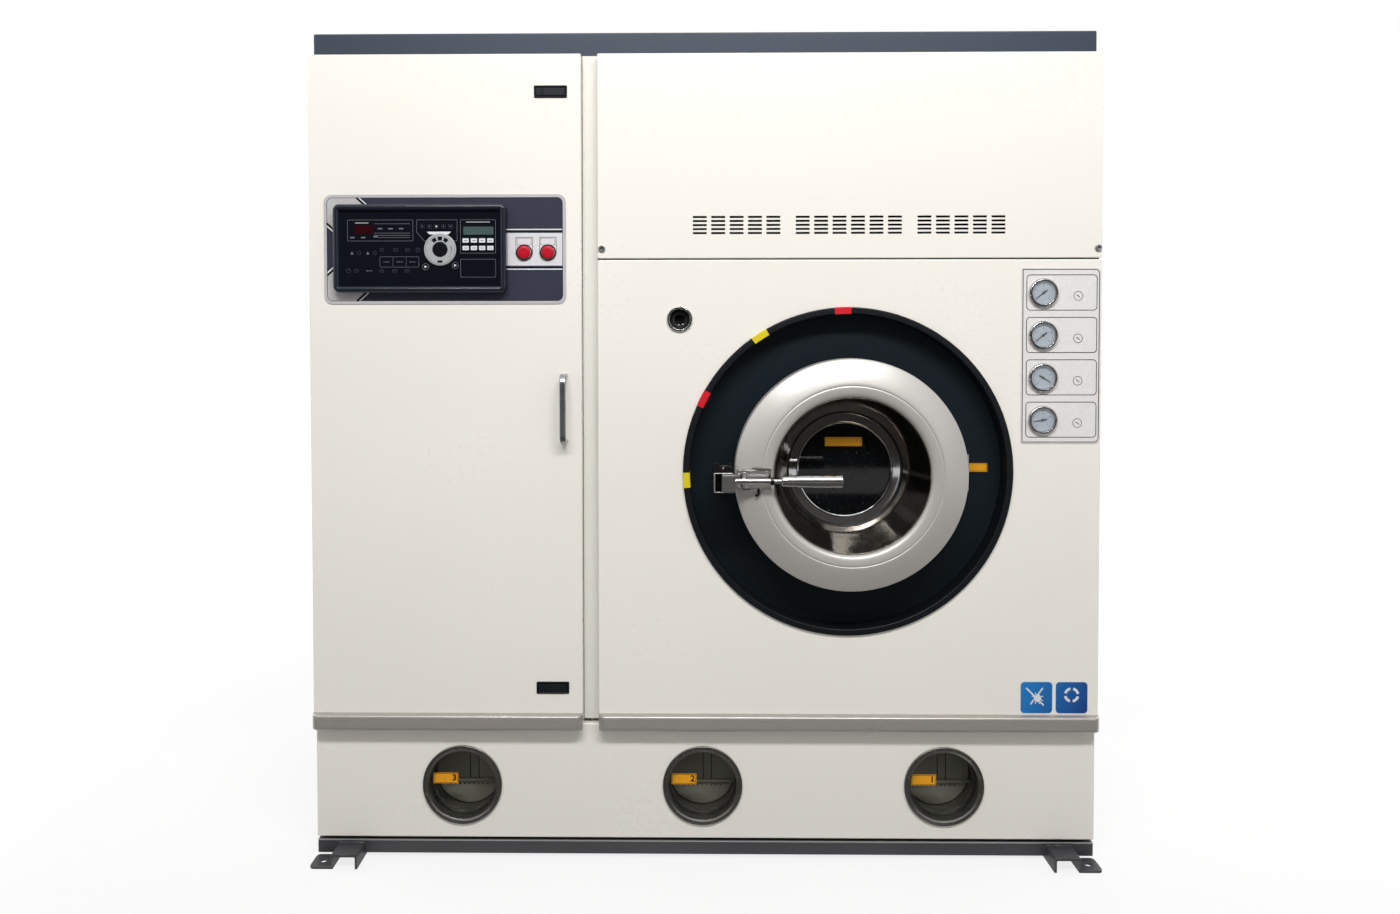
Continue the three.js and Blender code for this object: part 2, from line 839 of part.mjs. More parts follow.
function coverScrew(x) {
  const profile = [
    [0, -screwHeadHeight - seat + screwSocketDepth],
    [screwSocketRadius, -screwHeadHeight - seat + screwSocketDepth],
    [screwSocketRadius, -screwHeadHeight - seat], [screwHeadRadius - 1, -screwHeadHeight - seat],
    [screwHeadRadius, 1 - screwHeadHeight - seat], [screwHeadRadius, -seat],
    [screwStemRadius, -seat], [screwStemRadius, screwStemEnd], [0, screwStemEnd],
  ];
  return turnedAlongY(profile, x, screwLevel, plainTurn);
}

addPart('upper_vent_panel', upperVentPanel(), 'enamel');
addPart('cover_screw_left', coverScrew(screwXs[0]), 'brushed');
addPart('cover_screw_right', coverScrew(screwXs[1]), 'brushed');

const gaugePlateTop = seamLevel - gaugePlateBelowSeam;
const gaugePlateBottom = gaugePlateTop - gaugePlateHeight;
const gaugeX = gaugePlateLeft + gaugeFromPlateLeft;
const gaugeTopLevel = gaugePlateTop - gaugeFromPlateTop;
const sightX = (columnRight + drumAxisX) / 2 + sightShift;
const sightLevel = seamLevel - sightBelowSeam;
const gaugeLevels = needleDirections.map((_, i) => gaugeTopLevel - i * gaugePitch);

function gaugeHole(level) {
  return turnedAlongY(
    discProfile(gaugeBodyRadius + runningGap, -gaugePlateThickness - past, sheet + past),
    gaugeX, level, smallTurn,
  );
}

function loadingPanel() {
  const panel = sillPanel(columnRight, halfWidth, panelBack, seamLevel);
  const opening = turnedAlongY(
    discProfile(openingRadius, -past, panelBack + past), drumAxisX, drumAxisLevel, largeTurn,
  );
  const sightHole = turnedAlongY(
    discProfile(sightBodyRadius + runningGap, -past, sheet + past), sightX, sightLevel, smallTurn,
  );
  return cut(panel, opening, sightHole, ...gaugeLevels.map(gaugeHole));
}

function openingTrim() {
  const profile = [
    [trimInnerRadius, 2.5 - trimReach], [trimInnerRadius + 3, -trimReach],
    [trimOuterRadius - 3, -trimReach], [trimOuterRadius, 2.5 - trimReach],
    [trimOuterRadius, -seat], [openingRadius - seat, -seat],
    [openingRadius - seat, tubFrontDepth - seat], [trimInnerRadius, tubFrontDepth - seat],
  ];
  return turnedAlongY(profile, drumAxisX, drumAxisLevel, largeTurn);
}

addPart('loading_panel', loadingPanel(), 'enamel');
addPart('opening_trim', openingTrim(), 'rubber');

function sightPort() {
  const profile = [
    [sightHoleRadius, sightStep], [sightBoreRadius, sightStep],
    [sightBoreRadius, 1.5 - sightRimHeight], [sightBoreRadius + 1.5, -sightRimHeight],
    [sightRimRadius - 1.5, -sightRimHeight], [sightRimRadius, 2 - sightRimHeight],
    [sightRimRadius, -seat], [sightBodyRadius, -seat], [sightBodyRadius, sightEnd],
    [sightHoleRadius, sightEnd],
  ];
  return turnedAlongY(profile, sightX, sightLevel, smallTurn);
}

addPart('sight_port', sightPort(), 'polished');

// ---- gauges ----------------------------------------------------------------------------------

const gaugePlateFront = -seat - gaugePlateThickness;
const gaugeBezelFront = gaugePlateFront - seat - gaugeBezelHeight;
const gaugeDialDepth = gaugeBezelFront + gaugeDialSink;

function gaugePlate() {
  const outline = roundedRectangle(
    gaugePlateLeft, gaugePlateRight, gaugePlateBottom, gaugePlateTop,
    [0, gaugePlateCorner, gaugePlateCorner, 0],
  );
  return cut(alongY(outline, gaugePlateFront, -seat), ...gaugeLevels.map(gaugeHole));
}

function gaugeCase(level) {
  const profile = [
    [0, gaugeBodyEnd], [gaugeBodyRadius, gaugeBodyEnd],
    [gaugeBodyRadius, gaugePlateFront - seat], [gaugeBezelRadius, gaugePlateFront - seat],
    [gaugeBezelRadius, gaugeBezelFront + 3], [gaugeBezelRadius - 3, gaugeBezelFront],
    [gaugeDialRadius + 2, gaugeBezelFront], [gaugeDialRadius, gaugeBezelFront + 2],
    [gaugeDialRadius, gaugeDialDepth], [0, gaugeDialDepth],
  ];
  return turnedAlongY(profile, gaugeX, level, smallTurn);
}

// A pointer whose tip lies in the given direction, clockwise from the top.
function gaugeNeedle(level, direction) {
  const pointer = [
    [-needleHalfWidth, -needleTail], [needleHalfWidth, -needleTail],
    [needleHalfWidth / 2, needleLength], [-needleHalfWidth / 2, needleLength],
  ].map(([x, y]) => new THREE.Vector2(x, y));
  const back = gaugeDialDepth - seat;
  const angle = THREE.MathUtils.degToRad(direction);
  const place = (geometry) => geometry.rotateY(angle).translate(gaugeX, at(0), level);
  const flat = extruded(pointer, needleThickness / 2).rotateX(Math.PI / 2).translate(0, back, 0);
  const hub = turned(discProfile(needleHubRadius, back - needleThickness, back), smallTurn);
  return join(place(flat), place(hub));
}

addPart('gauge_plate', gaugePlate(), 'dial');
gaugeLevels.forEach((level, i) => {
  addPart(`gauge_case_${i + 1}`, gaugeCase(level), 'brushed');
  addPart(`gauge_needle_${i + 1}`, gaugeNeedle(level, needleDirections[i]), 'moulded');
});

// ---- cabinet door --------------------------------------------------------------------------

const hingeLevels = [lowerPanelTop + hingeAboveSill, doorTop - hingeBelowTop];
const latchLevels = [lowerPanelTop + latchAboveSill, doorTop - latchBelowTop];
const cabinetDoorRight = columnLeft;
const plateRight = cabinetDoorRight - plateFromEdge;
const plateLeft = plateRight - plateWidth;
const plateBottom = lowerPanelTop + plateAboveSill;
const plateTop = plateBottom + plateHeight;
const housingLeft = plateLeft + housingFromPlateLeft;
const housingRight = housingLeft + housingWidth;
const housingBottom = plateBottom + housingFromPlateBottom;
const housingTop = housingBottom + housingHeight;
const buttonLevel = plateBottom + buttonFromPlateBottom;
const buttonRight = plateRight - buttonFromPlateRight;
const buttonXs = [buttonRight - buttonPitch, buttonRight];
const latchRight = cabinetDoorRight - latchFromEdge + latchWidth / 2;
const latchLeft = latchRight - latchWidth;

// Lugs on the door that turn on the rod, above and below each knuckle.
function hingeLugs(level) {
  return [-1, 1].map((side) => {
    const near = level + side * (hingeKnuckleHeight / 2 + seat);
    const far = near + side * hingeLugThickness;
    return box(
      -halfWidth + sheet / 2, -halfWidth + sheet / 2 + hingeLugWidth, sheet / 2,
      sheet / 2 + hingeLugDepth, Math.min(near, far), Math.max(near, far),
    );
  });
}

function cabinetDoor() {
  const pan = sillPanel(-halfWidth, cabinetDoorRight, doorThickness, doorTop);
  const lugs = hingeLevels.flatMap(hingeLugs);
  const leafSlots = hingeLevels.map((level) => box(
    -halfWidth - past, -halfWidth + sheet + past, sheet + past, doorThickness + past,
    level - hingeKnuckleHeight / 2, level + hingeKnuckleHeight / 2,
  ));
  const rodHole = turnedAlongZ(
    discProfile(hingeRodRadius + runningGap, hingeLevels[0] - hingeKnuckleHeight,
      hingeLevels[1] + hingeKnuckleHeight), hingeX, hingeDepth, plainTurn,
  );
  const latchHoles = latchLevels.map((level) => box(
    latchLeft + latchRim - seat, latchRight - latchRim + seat, -past, sheet + past,
    level - latchHeight / 2 + latchRim - seat, level + latchHeight / 2 - latchRim + seat,
  ));
  const housingHole = box(
    housingLeft + housingBackInset - seat, housingRight - housingBackInset + seat, -past,
    sheet + past, housingBottom + housingBackInset - seat, housingTop - housingBackInset + seat,
  );
  return cut(
    join(pan, ...lugs), ...leafSlots, rodHole, ...latchHoles, housingHole,
    ...buttonXs.map(buttonHole),
  );
}

function buttonHole(x) {
  return turnedAlongY(
    discProfile(buttonStemRadius + runningGap, -plateThickness - past, sheet + past),
    x, buttonLevel, smallTurn,
  );
}

// One rod through both hinges, with a knuckle, a leaf and a foot on the side panel at each.
function cabinetHingeRod() {
  const rod = turnedAlongZ(
    discProfile(hingeRodRadius, hingeLevels[0] - hingeKnuckleHeight / 2 - 2 * hingeLugThickness,
      hingeLevels[1] + hingeKnuckleHeight / 2 + 2 * hingeLugThickness),
    hingeX, hingeDepth, plainTurn,
  );
  const mounts = hingeLevels.flatMap((level) => {
    const bottom = level - hingeKnuckleHeight / 2;
    const top = level + hingeKnuckleHeight / 2;
    const footEdge = (hingeKnuckleHeight - hingeFootThickness) / 2;
    return [
      turnedAlongZ(discProfile(hingeKnuckleRadius, bottom, top), hingeX, hingeDepth, plainTurn),
      box(
        hingeX - hingeLeafThickness / 2, hingeX + hingeLeafThickness / 2, hingeDepth,
        panelBack, level - footEdge, level + footEdge,
      ),
      box(
        hingeX - hingeLeafThickness / 2, hingeX - hingeLeafThickness / 2 + hingeFootWidth,
        panelBack - hingeFootThickness, panelBack, level - footEdge, level + footEdge,
      ),
    ];
  });
  return join(rod, ...mounts);
}

addPart('cabinet_door', cabinetDoor(), 'enamel');
addPart('cabinet_hinge_rod', cabinetHingeRod(), 'brushed');

function pullHandle() {
  const x = cabinetDoorRight - handleFromEdge;
  const bow = (inset, reach) => {
    const radius = handleBend - inset;
    const low = lowerPanelTop + handleAboveSill + inset;
    const high = lowerPanelTop + handleAboveSill + handleLength - inset;
    return [
      new THREE.Vector2(at(-seat), low),
      ...arc(at(-reach + radius), low + radius, radius, 270, 180, handleSteps),
      ...arc(at(-reach + radius), high - radius, radius, 180, 90, handleSteps),
      new THREE.Vector2(at(-seat), high),
    ];
  };
  const outer = bow(0, handleReach);
  const inner = bow(handleBarDepth, handleReach - handleBarDepth);
  inner[0].x += past;
  inner[inner.length - 1].x += past;
  const left = x - handleBarWidth / 2;
  const right = x + handleBarWidth / 2;
  return cut(alongX(outer, left, right), alongX(inner, left - past, right + past));
}

addPart('pull_handle', pullHandle(), 'silver');

// A flush bezel with an open box behind it, and a pin across the box for the paddle.
const paddlePivotX = latchLeft + latchRim + (latchWidth - 2 * latchRim) * paddleShortShare;
const paddleDepth = paddleThickness / 2 - latchWall;

function latchBezel(level) {
  const rim = box(
    latchLeft, latchRight, -latchWall - seat, -seat, level - latchHeight / 2, level + latchHeight / 2,
  );
  const shell = box(
    latchLeft + latchRim, latchRight - latchRim, -latchWall - seat, latchBoxDepth,
    level - latchHeight / 2 + latchRim, level + latchHeight / 2 - latchRim,
  );
  const hollow = box(
    latchLeft + latchRim + latchWall, latchRight - latchRim - latchWall, -latchWall - past,
    latchBoxDepth - latchWall, level - latchHeight / 2 + latchRim + latchWall,
    level + latchHeight / 2 - latchRim - latchWall,
  );
  const pin = turnedAlongZ(
    discProfile(paddlePinRadius, level - latchHeight / 2 + latchRim + latchWall / 2,
      level + latchHeight / 2 - latchRim - latchWall / 2),
    paddlePivotX, paddleDepth, plainTurn,
  );
  return join(cut(join(rim, shell), hollow), pin);
}

function latchPaddle(level) {
  const gap = runningGap;
  const halfHeight = latchHeight / 2 - latchRim - latchWall - gap;
  const plate = box(
    latchLeft + latchRim + latchWall + gap, latchRight - latchRim - latchWall - gap,
    paddleDepth - paddleThickness / 2, paddleDepth + paddleThickness / 2,
    level - halfHeight, level + halfHeight,
  );
  const barrelProfile = discProfile(paddlePinRadius + runningGap + paddleThickness / 4,
    level - halfHeight, level + halfHeight);
  const boreProfile = discProfile(paddlePinRadius + runningGap / 2,
    level - halfHeight - past, level + halfHeight + past);
  const barrel = turnedAlongZ(barrelProfile, paddlePivotX, paddleDepth, smallTurn);
  return cut(join(plate, barrel), turnedAlongZ(boreProfile, paddlePivotX, paddleDepth, smallTurn));
}

['lower', 'upper'].forEach((place, i) => {
  addPart(`latch_bezel_${place}`, latchBezel(latchLevels[i]), 'moulded');
  addPart(`latch_paddle_${place}`, latchPaddle(latchLevels[i]), 'moulded');
});

// ---- controller ----------------------------------------------------------------------------

function consolePlate() {
  const outline = roundedRectangle(
    plateLeft, plateRight, plateBottom, plateTop, [plateCorner, plateCorner, plateCorner, plateCorner],
  );
  const housingHole = box(
    housingLeft + housingBackInset - seat, housingRight - housingBackInset + seat,
    -plateThickness - past, past, housingBottom + housingBackInset - seat,
    housingTop - housingBackInset + seat,
  );
  const plate = alongY(outline, -plateThickness - seat, -seat);
  return cut(plate, housingHole, ...buttonXs.map(buttonHole));
}

function consoleHousing() {
  const radii = [housingCorner, housingCorner, housingCorner, housingCorner];
  const front = -plateThickness - 2 * seat - housingReach;
  const outer = alongY(
    roundedRectangle(housingLeft, housingRight, housingBottom, housingTop, radii),
    front, -plateThickness - 2 * seat,
  );
  const recess = alongY(
    roundedRectangle(
      housingLeft + housingRim, housingRight - housingRim, housingBottom + housingRim,
      housingTop - housingRim, radii.map((radius) => radius / 2),
    ),
    front - past, front + housingRecess,
  );
  const inset = housingBackInset;
  const rear = box(
    housingLeft + inset, housingRight - inset, front + housingRecess + sheet, housingBack,
    housingBottom + inset, housingTop - inset,
  );
  const hollow = box(
    housingLeft + inset + sheet, housingRight - inset - sheet, front + housingRecess + 2 * sheet,
    housingBack + past, housingBottom + inset + sheet, housingTop - inset - sheet,
  );
  return cut(join(cut(outer, recess), rear), hollow);
}

// A mushroom cap on a stem that slides in the plate and the door.
function pushButton(x) {
  const front = -buttonReach;
  const profile = [
    [0, front], [buttonRadius - 5, front + 0.5], [buttonRadius - 1.5, front + 2],
    [buttonRadius, front + 3.5], [buttonRadius, front + buttonHeadHeight],
    [buttonStemRadius, front + buttonHeadHeight], [buttonStemRadius, buttonStemEnd],
    [0, buttonStemEnd],
  ];
  return turnedAlongY(profile, x, buttonLevel, smallTurn);
}

addPart('console_plate', consolePlate(), 'plate');
addPart('console_housing', consoleHousing(), 'moulded');
addPart('push_button_left', pushButton(buttonXs[0]), 'signalRed');
addPart('push_button_right', pushButton(buttonXs[1]), 'signalRed');

// ---- solvent tank --------------------------------------------------------------------------

function saddle(depth) {
  const plate = alongY(
    rectangle(
      drumAxisX - saddleHalfWidth, drumAxisX + saddleHalfWidth, tankTop - tankWall / 2,
      drumAxisLevel - saddleBelowAxis,
    ),
    depth, depth + saddleThickness,
  );
  const cradle = turnedAlongY(
    discProfile(tubRadius + seat, depth - past, depth + saddleThickness + past),
    drumAxisX, drumAxisLevel, largeTurn,
  );
  return cut(plate, cradle);
}

function solventTank() {
  const back = tankFront + tankDepth;
  const edges = [-tankHalfWidth, ...[0.5, 1.5].map((n) => portholeXs[0] + n * portholePitch), tankHalfWidth];
  const chambers = portholeXs.map((_, i) => box(
    edges[i] + tankWall, edges[i + 1] - (i < 2 ? 0 : tankWall), tankFront + tankWall,
    back - tankWall, tankBottom + tankWall, tankTop - tankWall,
  ));
  const sights = portholeXs.map((x) => turnedAlongY(
    discProfile(tankSightRadius, tankFront - past, tankFront + 2 * tankWall), x, portholeLevel, octagon,
  ));
  const block = box(-tankHalfWidth, tankHalfWidth, tankFront, back, tankBottom, tankTop);
  return join(cut(block, ...chambers, ...sights), ...saddleDepths.map(saddle));
}

addPart('solvent_tank', solventTank(), 'brushed');

// ---- tub ----------------------------------------------------------------------------------

// The tub with its neck, its rear bearing tube, the air duct on top and the door's hinge pin.
function tub() {
  const back = tubBackDepth;
  const bore = shaftRadius + runningGap;
  const shell = turnedAlongY([
    [neckOuterRadius, -neckReach], [neckOuterRadius, tubFrontDepth], [tubRadius, tubFrontDepth],
    [tubRadius, back], [bearingRadius, back], [bearingRadius, bearingEnd], [bore, bearingEnd],
    [bore, back - tubWall], [tubRadius - tubWall, back - tubWall],
    [tubRadius - tubWall, tubFrontDepth + tubWall], [neckInnerRadius, tubFrontDepth + tubWall],
    [neckInnerRadius, -neckReach],
  ], drumAxisX, drumAxisLevel, largeTurn);
  const chordLevel = drumAxisLevel + Math.sqrt(tubRadius ** 2 - (ductWidth / 2) ** 2) - 2 * tubWall;
  const ductLeft = drumAxisX - ductWidth / 2;
  const ductRight = drumAxisX + ductWidth / 2;
  const duct = box(
    ductLeft, ductRight, ductFront, ductFront + ductDepth, chordLevel, shelfBottom - seat,
  );
  const ductHollow = box(
    ductLeft + sheet, ductRight - sheet, ductFront + sheet, ductFront + ductDepth - sheet,
    chordLevel - tubWall, shelfBottom + past,
  );
  const clearInside = turnedAlongY(
    discProfile(tubRadius - tubWall, tubFrontDepth + tubWall, back - tubWall),
    drumAxisX, drumAxisLevel, largeTurn,
  );
  const upper = cut(duct, clearInside);
  const near = drumAxisLevel + doorSleeveHeight / 2 + seat;
  const ears = [near, 2 * drumAxisLevel - near - doorEarThickness].map((bottom) => box(
    doorHingeX - doorEarHalfWidth, doorHingeX + doorEarHalfWidth, -doorEarHalfWidth,
    tubFrontDepth + tubWall / 2, bottom, bottom + doorEarThickness,
  ));
  const pin = turnedAlongZ(
    discProfile(doorHingePinRadius, 2 * drumAxisLevel - near - doorEarThickness / 2,
      near + doorEarThickness / 2),
    doorHingeX, 0, smallTurn,
  );
  return join(cut(join(shell, upper), ductHollow), ...ears, pin);
}

addPart('tub', tub(), 'recess');

// ---- drum and its drive --------------------------------------------------------------------

function drum() {
  const shell = turnedAlongY([
    [0, drumBack - drumWall], [drumRadius - drumWall, drumBack - drumWall],
    [drumRadius - drumWall, drumFront + drumWall], [drumMouthRadius, drumFront + drumWall],
    [drumMouthRadius, drumFront], [drumRadius, drumFront], [drumRadius, drumBack], [0, drumBack],
  ], drumAxisX, drumAxisLevel, largeTurn);
  const root = drumRadius - drumWall;
  const profile = [
    [-lifterFoot / 2, root], [lifterFoot / 2, root], [lifterTop / 2, root - lifterHeight],
    [-lifterTop / 2, root - lifterHeight],
  ];
  const lifters = Array.from({ length: lifterCount }, (_, i) => {
    const angle = (2 * Math.PI * i) / lifterCount;
    const points = profile.map(([x, y]) => new THREE.Vector2(x, y).rotateAround(new THREE.Vector2(), angle));
    const place = points.map((point) => new THREE.Vector2(point.x + drumAxisX, point.y + drumAxisLevel));
    return alongY(place, drumFront + drumWall / 2, drumBack - drumWall / 2);
  });
  return join(shell, ...lifters);
}

function drumShaftPulley() {
  const front = drumBack + seat;
  const web = (pulleyWidth - pulleyWeb) / 2;
  return turnedAlongY([
    [0, front], [drumHubRadius, front], [drumHubRadius, front + drumHubThickness],
    [shaftRadius, front + drumHubThickness], [shaftRadius, pulleyFront],
    [pulleyHubRadius, pulleyFront], [pulleyHubRadius, pulleyFront + web],
    [pulleyRadius - pulleyRim, pulleyFront + web], [pulleyRadius - pulleyRim, pulleyFront],
    [pulleyRadius, pulleyFront], [pulleyRadius, pulleyBack],
    [pulleyRadius - pulleyRim, pulleyBack], [pulleyRadius - pulleyRim, pulleyBack - web],
    [pulleyHubRadius, pulleyBack - web], [pulleyHubRadius, pulleyBack], [0, pulleyBack],
  ], drumAxisX, drumAxisLevel, middleTurn);
}

const motorX = halfWidth - motorFromSide;
const motorLevel = tankTop + motorAboveTank;

// The outline round both pulleys at an offset: two arcs and their common tangents.
function beltOutline(offset) {
  const run = new THREE.Vector2(motorX - drumAxisX, motorLevel - drumAxisLevel);
  const heading = THREE.MathUtils.radToDeg(run.angle());
  const spread = THREE.MathUtils.radToDeg(Math.acos((pulleyRadius - motorPulleyRadius) / run.length()));
  // the flats of the arcs stay outside the pulleys' own corners
  const around = (x, y, radius, from, to, steps) => {
    const halfStep = THREE.MathUtils.degToRad((to - from) / steps / 2);
    return arc(x, y, (radius + offset) / Math.cos(halfStep), from, to, steps);
  };
  const large = around(
    drumAxisX, drumAxisLevel, pulleyRadius, heading + spread, heading + 360 - spread, middleTurn,
  );
  const small = around(
    motorX, motorLevel, motorPulleyRadius, heading - spread, heading + spread, smallTurn / 2,
  );
  return [...large, ...small];
}

function driveBelt() {
  const front = pulleyFront + beltInset;
  const back = pulleyBack - beltInset;
  return cut(
    alongY(beltOutline(seat + beltThickness), front, back),
    alongY(beltOutline(seat), front - past, back + past),
  );
}

const motorBack = pulleyFront - motorPulleyGap;

function driveMotor() {
  const front = motorBack - motorLength;
  const body = turnedAlongY(discProfile(motorRadius, front, motorBack), motorX, motorLevel, plainTurn);
  const base = box(
    motorX - motorFootWidth / 2, motorX + motorFootWidth / 2, front + motorRadius / 2,
    motorBack - motorRadius / 2, tankTop + seat, motorLevel,
  );
  const socket = turnedAlongY(
    discProfile(motorShaftRadius + runningGap, motorBack - motorShaftSocket, motorBack + past),
    motorX, motorLevel, plainTurn,
  );
  return cut(join(body, base), socket);
}

function motorPulley() {
  return turnedAlongY([
    [0, motorBack - motorShaftSocket + seat], [motorShaftRadius, motorBack - motorShaftSocket + seat],
    [motorShaftRadius, pulleyFront], [motorPulleyRadius, pulleyFront],
    [motorPulleyRadius, pulleyBack], [0, pulleyBack],
  ], motorX, motorLevel, smallTurn);
}

addPart('drum', drum(), 'polished');
addPart('drum_shaft_pulley', drumShaftPulley(), 'castIron');
addPart('drive_belt', driveBelt(), 'rubber');
addPart('drive_motor', driveMotor(), 'motorBlue');
addPart('motor_pulley', motorPulley(), 'castIron');

// ---- loading door --------------------------------------------------------------------------

// Inner radius of the pan's cone at a depth.
const coneRadius = (depth) => (
  lipRadius + ((panEndRadius - lipRadius) * (depth + lipReach)) / (panConeEnd + lipReach)
);

function doorRing() {
  const crown = Array.from({ length: ringCrownSteps + 1 }, (_, i) => {
    const share = i / ringCrownSteps;
    const rise = Math.sin((share * Math.PI) / 2);
    return [
      ringOuterRadius - 2 + (ringRidgeRadius - ringOuterRadius + 2) * share,
      -ringEdgeReach - (ringRidgeReach - ringEdgeReach) * rise,
    ];
  });
  const inside = (depth) => [coneRadius(depth) + sheet + runningGap, depth];
  const ring = turnedAlongY([
    [ringOuterRadius - 2, -ringBackReach], [ringOuterRadius, -ringBackReach - 3],
    [ringOuterRadius, 3 - ringEdgeReach], ...crown, [lipRadius + 14, 1 - ringRidgeReach],
    [lipRadius + 5, 5 - ringRidgeReach], inside(1 - lipReach), inside(-ringBackReach),
  ], drumAxisX, drumAxisLevel, largeTurn);
  const pocket = box(
    latchPlateLeft - runningGap, latchPlateRight + runningGap, -ringRidgeReach - past,
    -latchPlateSeat, latchAxisLevel - latchPlateHalfHeight - runningGap,
    latchAxisLevel + latchPlateHalfHeight + runningGap,
  );
  return join(cut(ring, pocket), hingeArm());
}

// The arm on the ring's back and the sleeve that turns on the tub's pin.
function hingeArm() {
  const halfHeight = doorSleeveHeight / 2;
  const sleeve = turnedAlongZ(
    discProfile(doorSleeveRadius, drumAxisLevel - halfHeight, drumAxisLevel + halfHeight),
    doorHingeX, 0, smallTurn,
  );
  const plate = box(
    doorHingeX - doorArmLength, doorHingeX, -ringBackReach - past, -doorSleeveRadius / 2,
    drumAxisLevel - halfHeight, drumAxisLevel + halfHeight,
  );
  const bore = turnedAlongZ(
    discProfile(doorHingePinRadius + runningGap, drumAxisLevel - doorSleeveHeight,
      drumAxisLevel + doorSleeveHeight),
    doorHingeX, 0, smallTurn,
  );
  return cut(join(sleeve, plate), bore);
}

function doorPan() {
  const flangeFront = -ringBackReach + seat;
  const wall = (depth) => [coneRadius(depth) + sheet, depth];
  return turnedAlongY([
    [lipRadius, -lipReach], [panEndRadius, panConeEnd], [panEndRadius, panEnd],
    [panFloorRadius, panEnd], [panFloorRadius, panEnd + sheet], [panEndRadius + sheet, panEnd + sheet],
    wall(panConeEnd), wall(flangeFront + sheet), [panFlangeRadius, flangeFront + sheet],
    [panFlangeRadius, flangeFront], wall(flangeFront), wall(-lipReach),
  ], drumAxisX, drumAxisLevel, largeTurn);
}

const glassBack = panEnd - seat;
const glassFront = glassBack - glassThickness;

function glassRetainer() {
  const back = glassFront - seat;
  const front = back - retainerHeight;
  return turnedAlongY([
    [retainerInnerRadius, back], [retainerInnerRadius, front + 3], [retainerInnerRadius + 3, front],
    [retainerInnerRadius + 9, front + 3], [glassRadius, front + 4.5], [glassRadius, back],
  ], drumAxisX, drumAxisLevel, largeTurn);
}

function doorGlass() {
  return turnedAlongY(
    discProfile(glassRadius, glassFront, glassBack), drumAxisX, drumAxisLevel, largeTurn,
  );
}

function doorGasket() {
  return turnedAlongY([
    [gasketInnerRadius, seat - ringBackReach], [gasketOuterRadius, seat - ringBackReach],
    [gasketOuterRadius, -neckReach - seat], [gasketInnerRadius, -neckReach - seat],
  ], drumAxisX, drumAxisLevel, largeTurn);
}

addPart('door_ring', doorRing(), 'silver');
addPart('door_pan', doorPan(), 'polished');
addPart('door_glass', doorGlass(), 'glass');
addPart('glass_retainer', glassRetainer(), 'polished');
addPart('door_gasket', doorGasket(), 'rubber');

// ---- latch of the loading door ----------------------------------------------------------------

// The polished plate let into the ring, with two ears and the lever's upright pin.
function latchPivot() {
  const plate = box(
    latchPlateLeft, latchPlateRight, -latchPlateFront, -latchPlateSeat - seat,
    latchAxisLevel - latchPlateHalfHeight, latchAxisLevel + latchPlateHalfHeight,
  );
  const near = latchSleeveHeight / 2 + seat;
  const ears = [near, -near - latchEarThickness].map((bottom) => box(
    latchPivotX - latchEarHalfWidth, latchPivotX + latchEarHalfWidth,
    -latchPivotReach - latchEarHalfWidth, past - latchPlateFront,
    latchAxisLevel + bottom, latchAxisLevel + bottom + latchEarThickness,
  ));
  const pinEnd = near + latchEarThickness / 2;
  const pin = turnedAlongZ(
    discProfile(latchPinRadius, latchAxisLevel - pinEnd, latchAxisLevel + pinEnd),
    latchPivotX, -latchPivotReach, plainTurn,
  );
  return join(plate, ...ears, pin);
}

// Nose block, rod, collar and turned grip on the sleeve that swings on the pin.
function latchLever() {
  const grooves = Array.from({ length: gripGrooves }, (_, i) => {
    const left = gripRight - (gripGrooves - i) * gripGroovePitch;
    return [
      [gripRadius, left], [gripRadius - gripGrooveDepth, left + gripGrooveWidth / 2],
      [gripRadius, left + gripGrooveWidth],
    ];
  }).flat();
  const shaft = turnedAlongX([
    [0, leverNoseRight - sheet], [leverRodRadius, leverNoseRight - sheet],
    [leverRodRadius, leverCollarLeft], [leverCollarRadius, leverCollarLeft],
    [leverCollarRadius, leverCollarRight], [leverRodRadius, leverCollarRight],
    [leverRodRadius, gripLeft], [gripRootRadius, gripLeft], ...grooves,
    [gripRadius, gripRight - 1.5], [gripRadius - 1.5, gripRight], [0, gripRight],
  ], -leverAxisReach, latchAxisLevel, smallTurn);
  const block = box(
    leverNoseLeft, leverNoseRight, -leverNoseFront, -leverNoseBack,
    latchAxisLevel - leverNoseHalfHeight, latchAxisLevel + leverNoseHalfHeight,
  );
  const sleeve = turnedAlongZ(
    discProfile(latchSleeveRadius, latchAxisLevel - latchSleeveHeight / 2,
      latchAxisLevel + latchSleeveHeight / 2),
    latchPivotX, -latchPivotReach, smallTurn,
  );
  const bore = turnedAlongZ(
    discProfile(latchPinRadius + runningGap, latchAxisLevel - latchSleeveHeight,
      latchAxisLevel + latchSleeveHeight),
    latchPivotX, -latchPivotReach, smallTurn,
  );
  return join(block, cut(join(shaft, sleeve), bore));
}

// A strike box on a post of the tub front, open towards the lever and to the front.
function strikeBracket() {
  const low = latchAxisLevel - strikeHalfHeight;
  const high = latchAxisLevel + strikeHalfHeight;
  const loop = cut(
    box(strikeLeft, strikeRight, -strikeFront, -strikeBack, low, high),
    box(
      strikeLeft + strikeBar, strikeRight + past, -strikeFront - past, -strikeBack - strikeBar,
      low + strikeBar, high - strikeBar,
    ),
  );
  const post = box(
    strikeLeft + strikeBar, strikeRight - strikeBar, -strikeBack - strikeBar / 2,
    tubFrontDepth - seat, latchAxisLevel - strikePostHalfHeight, latchAxisLevel + strikePostHalfHeight,
  );
  return join(loop, post);
}

addPart('latch_pivot', latchPivot(), 'polished');
addPart('latch_lever', latchLever(), 'aluminium');
addPart('strike_bracket', strikeBracket(), 'brushed');

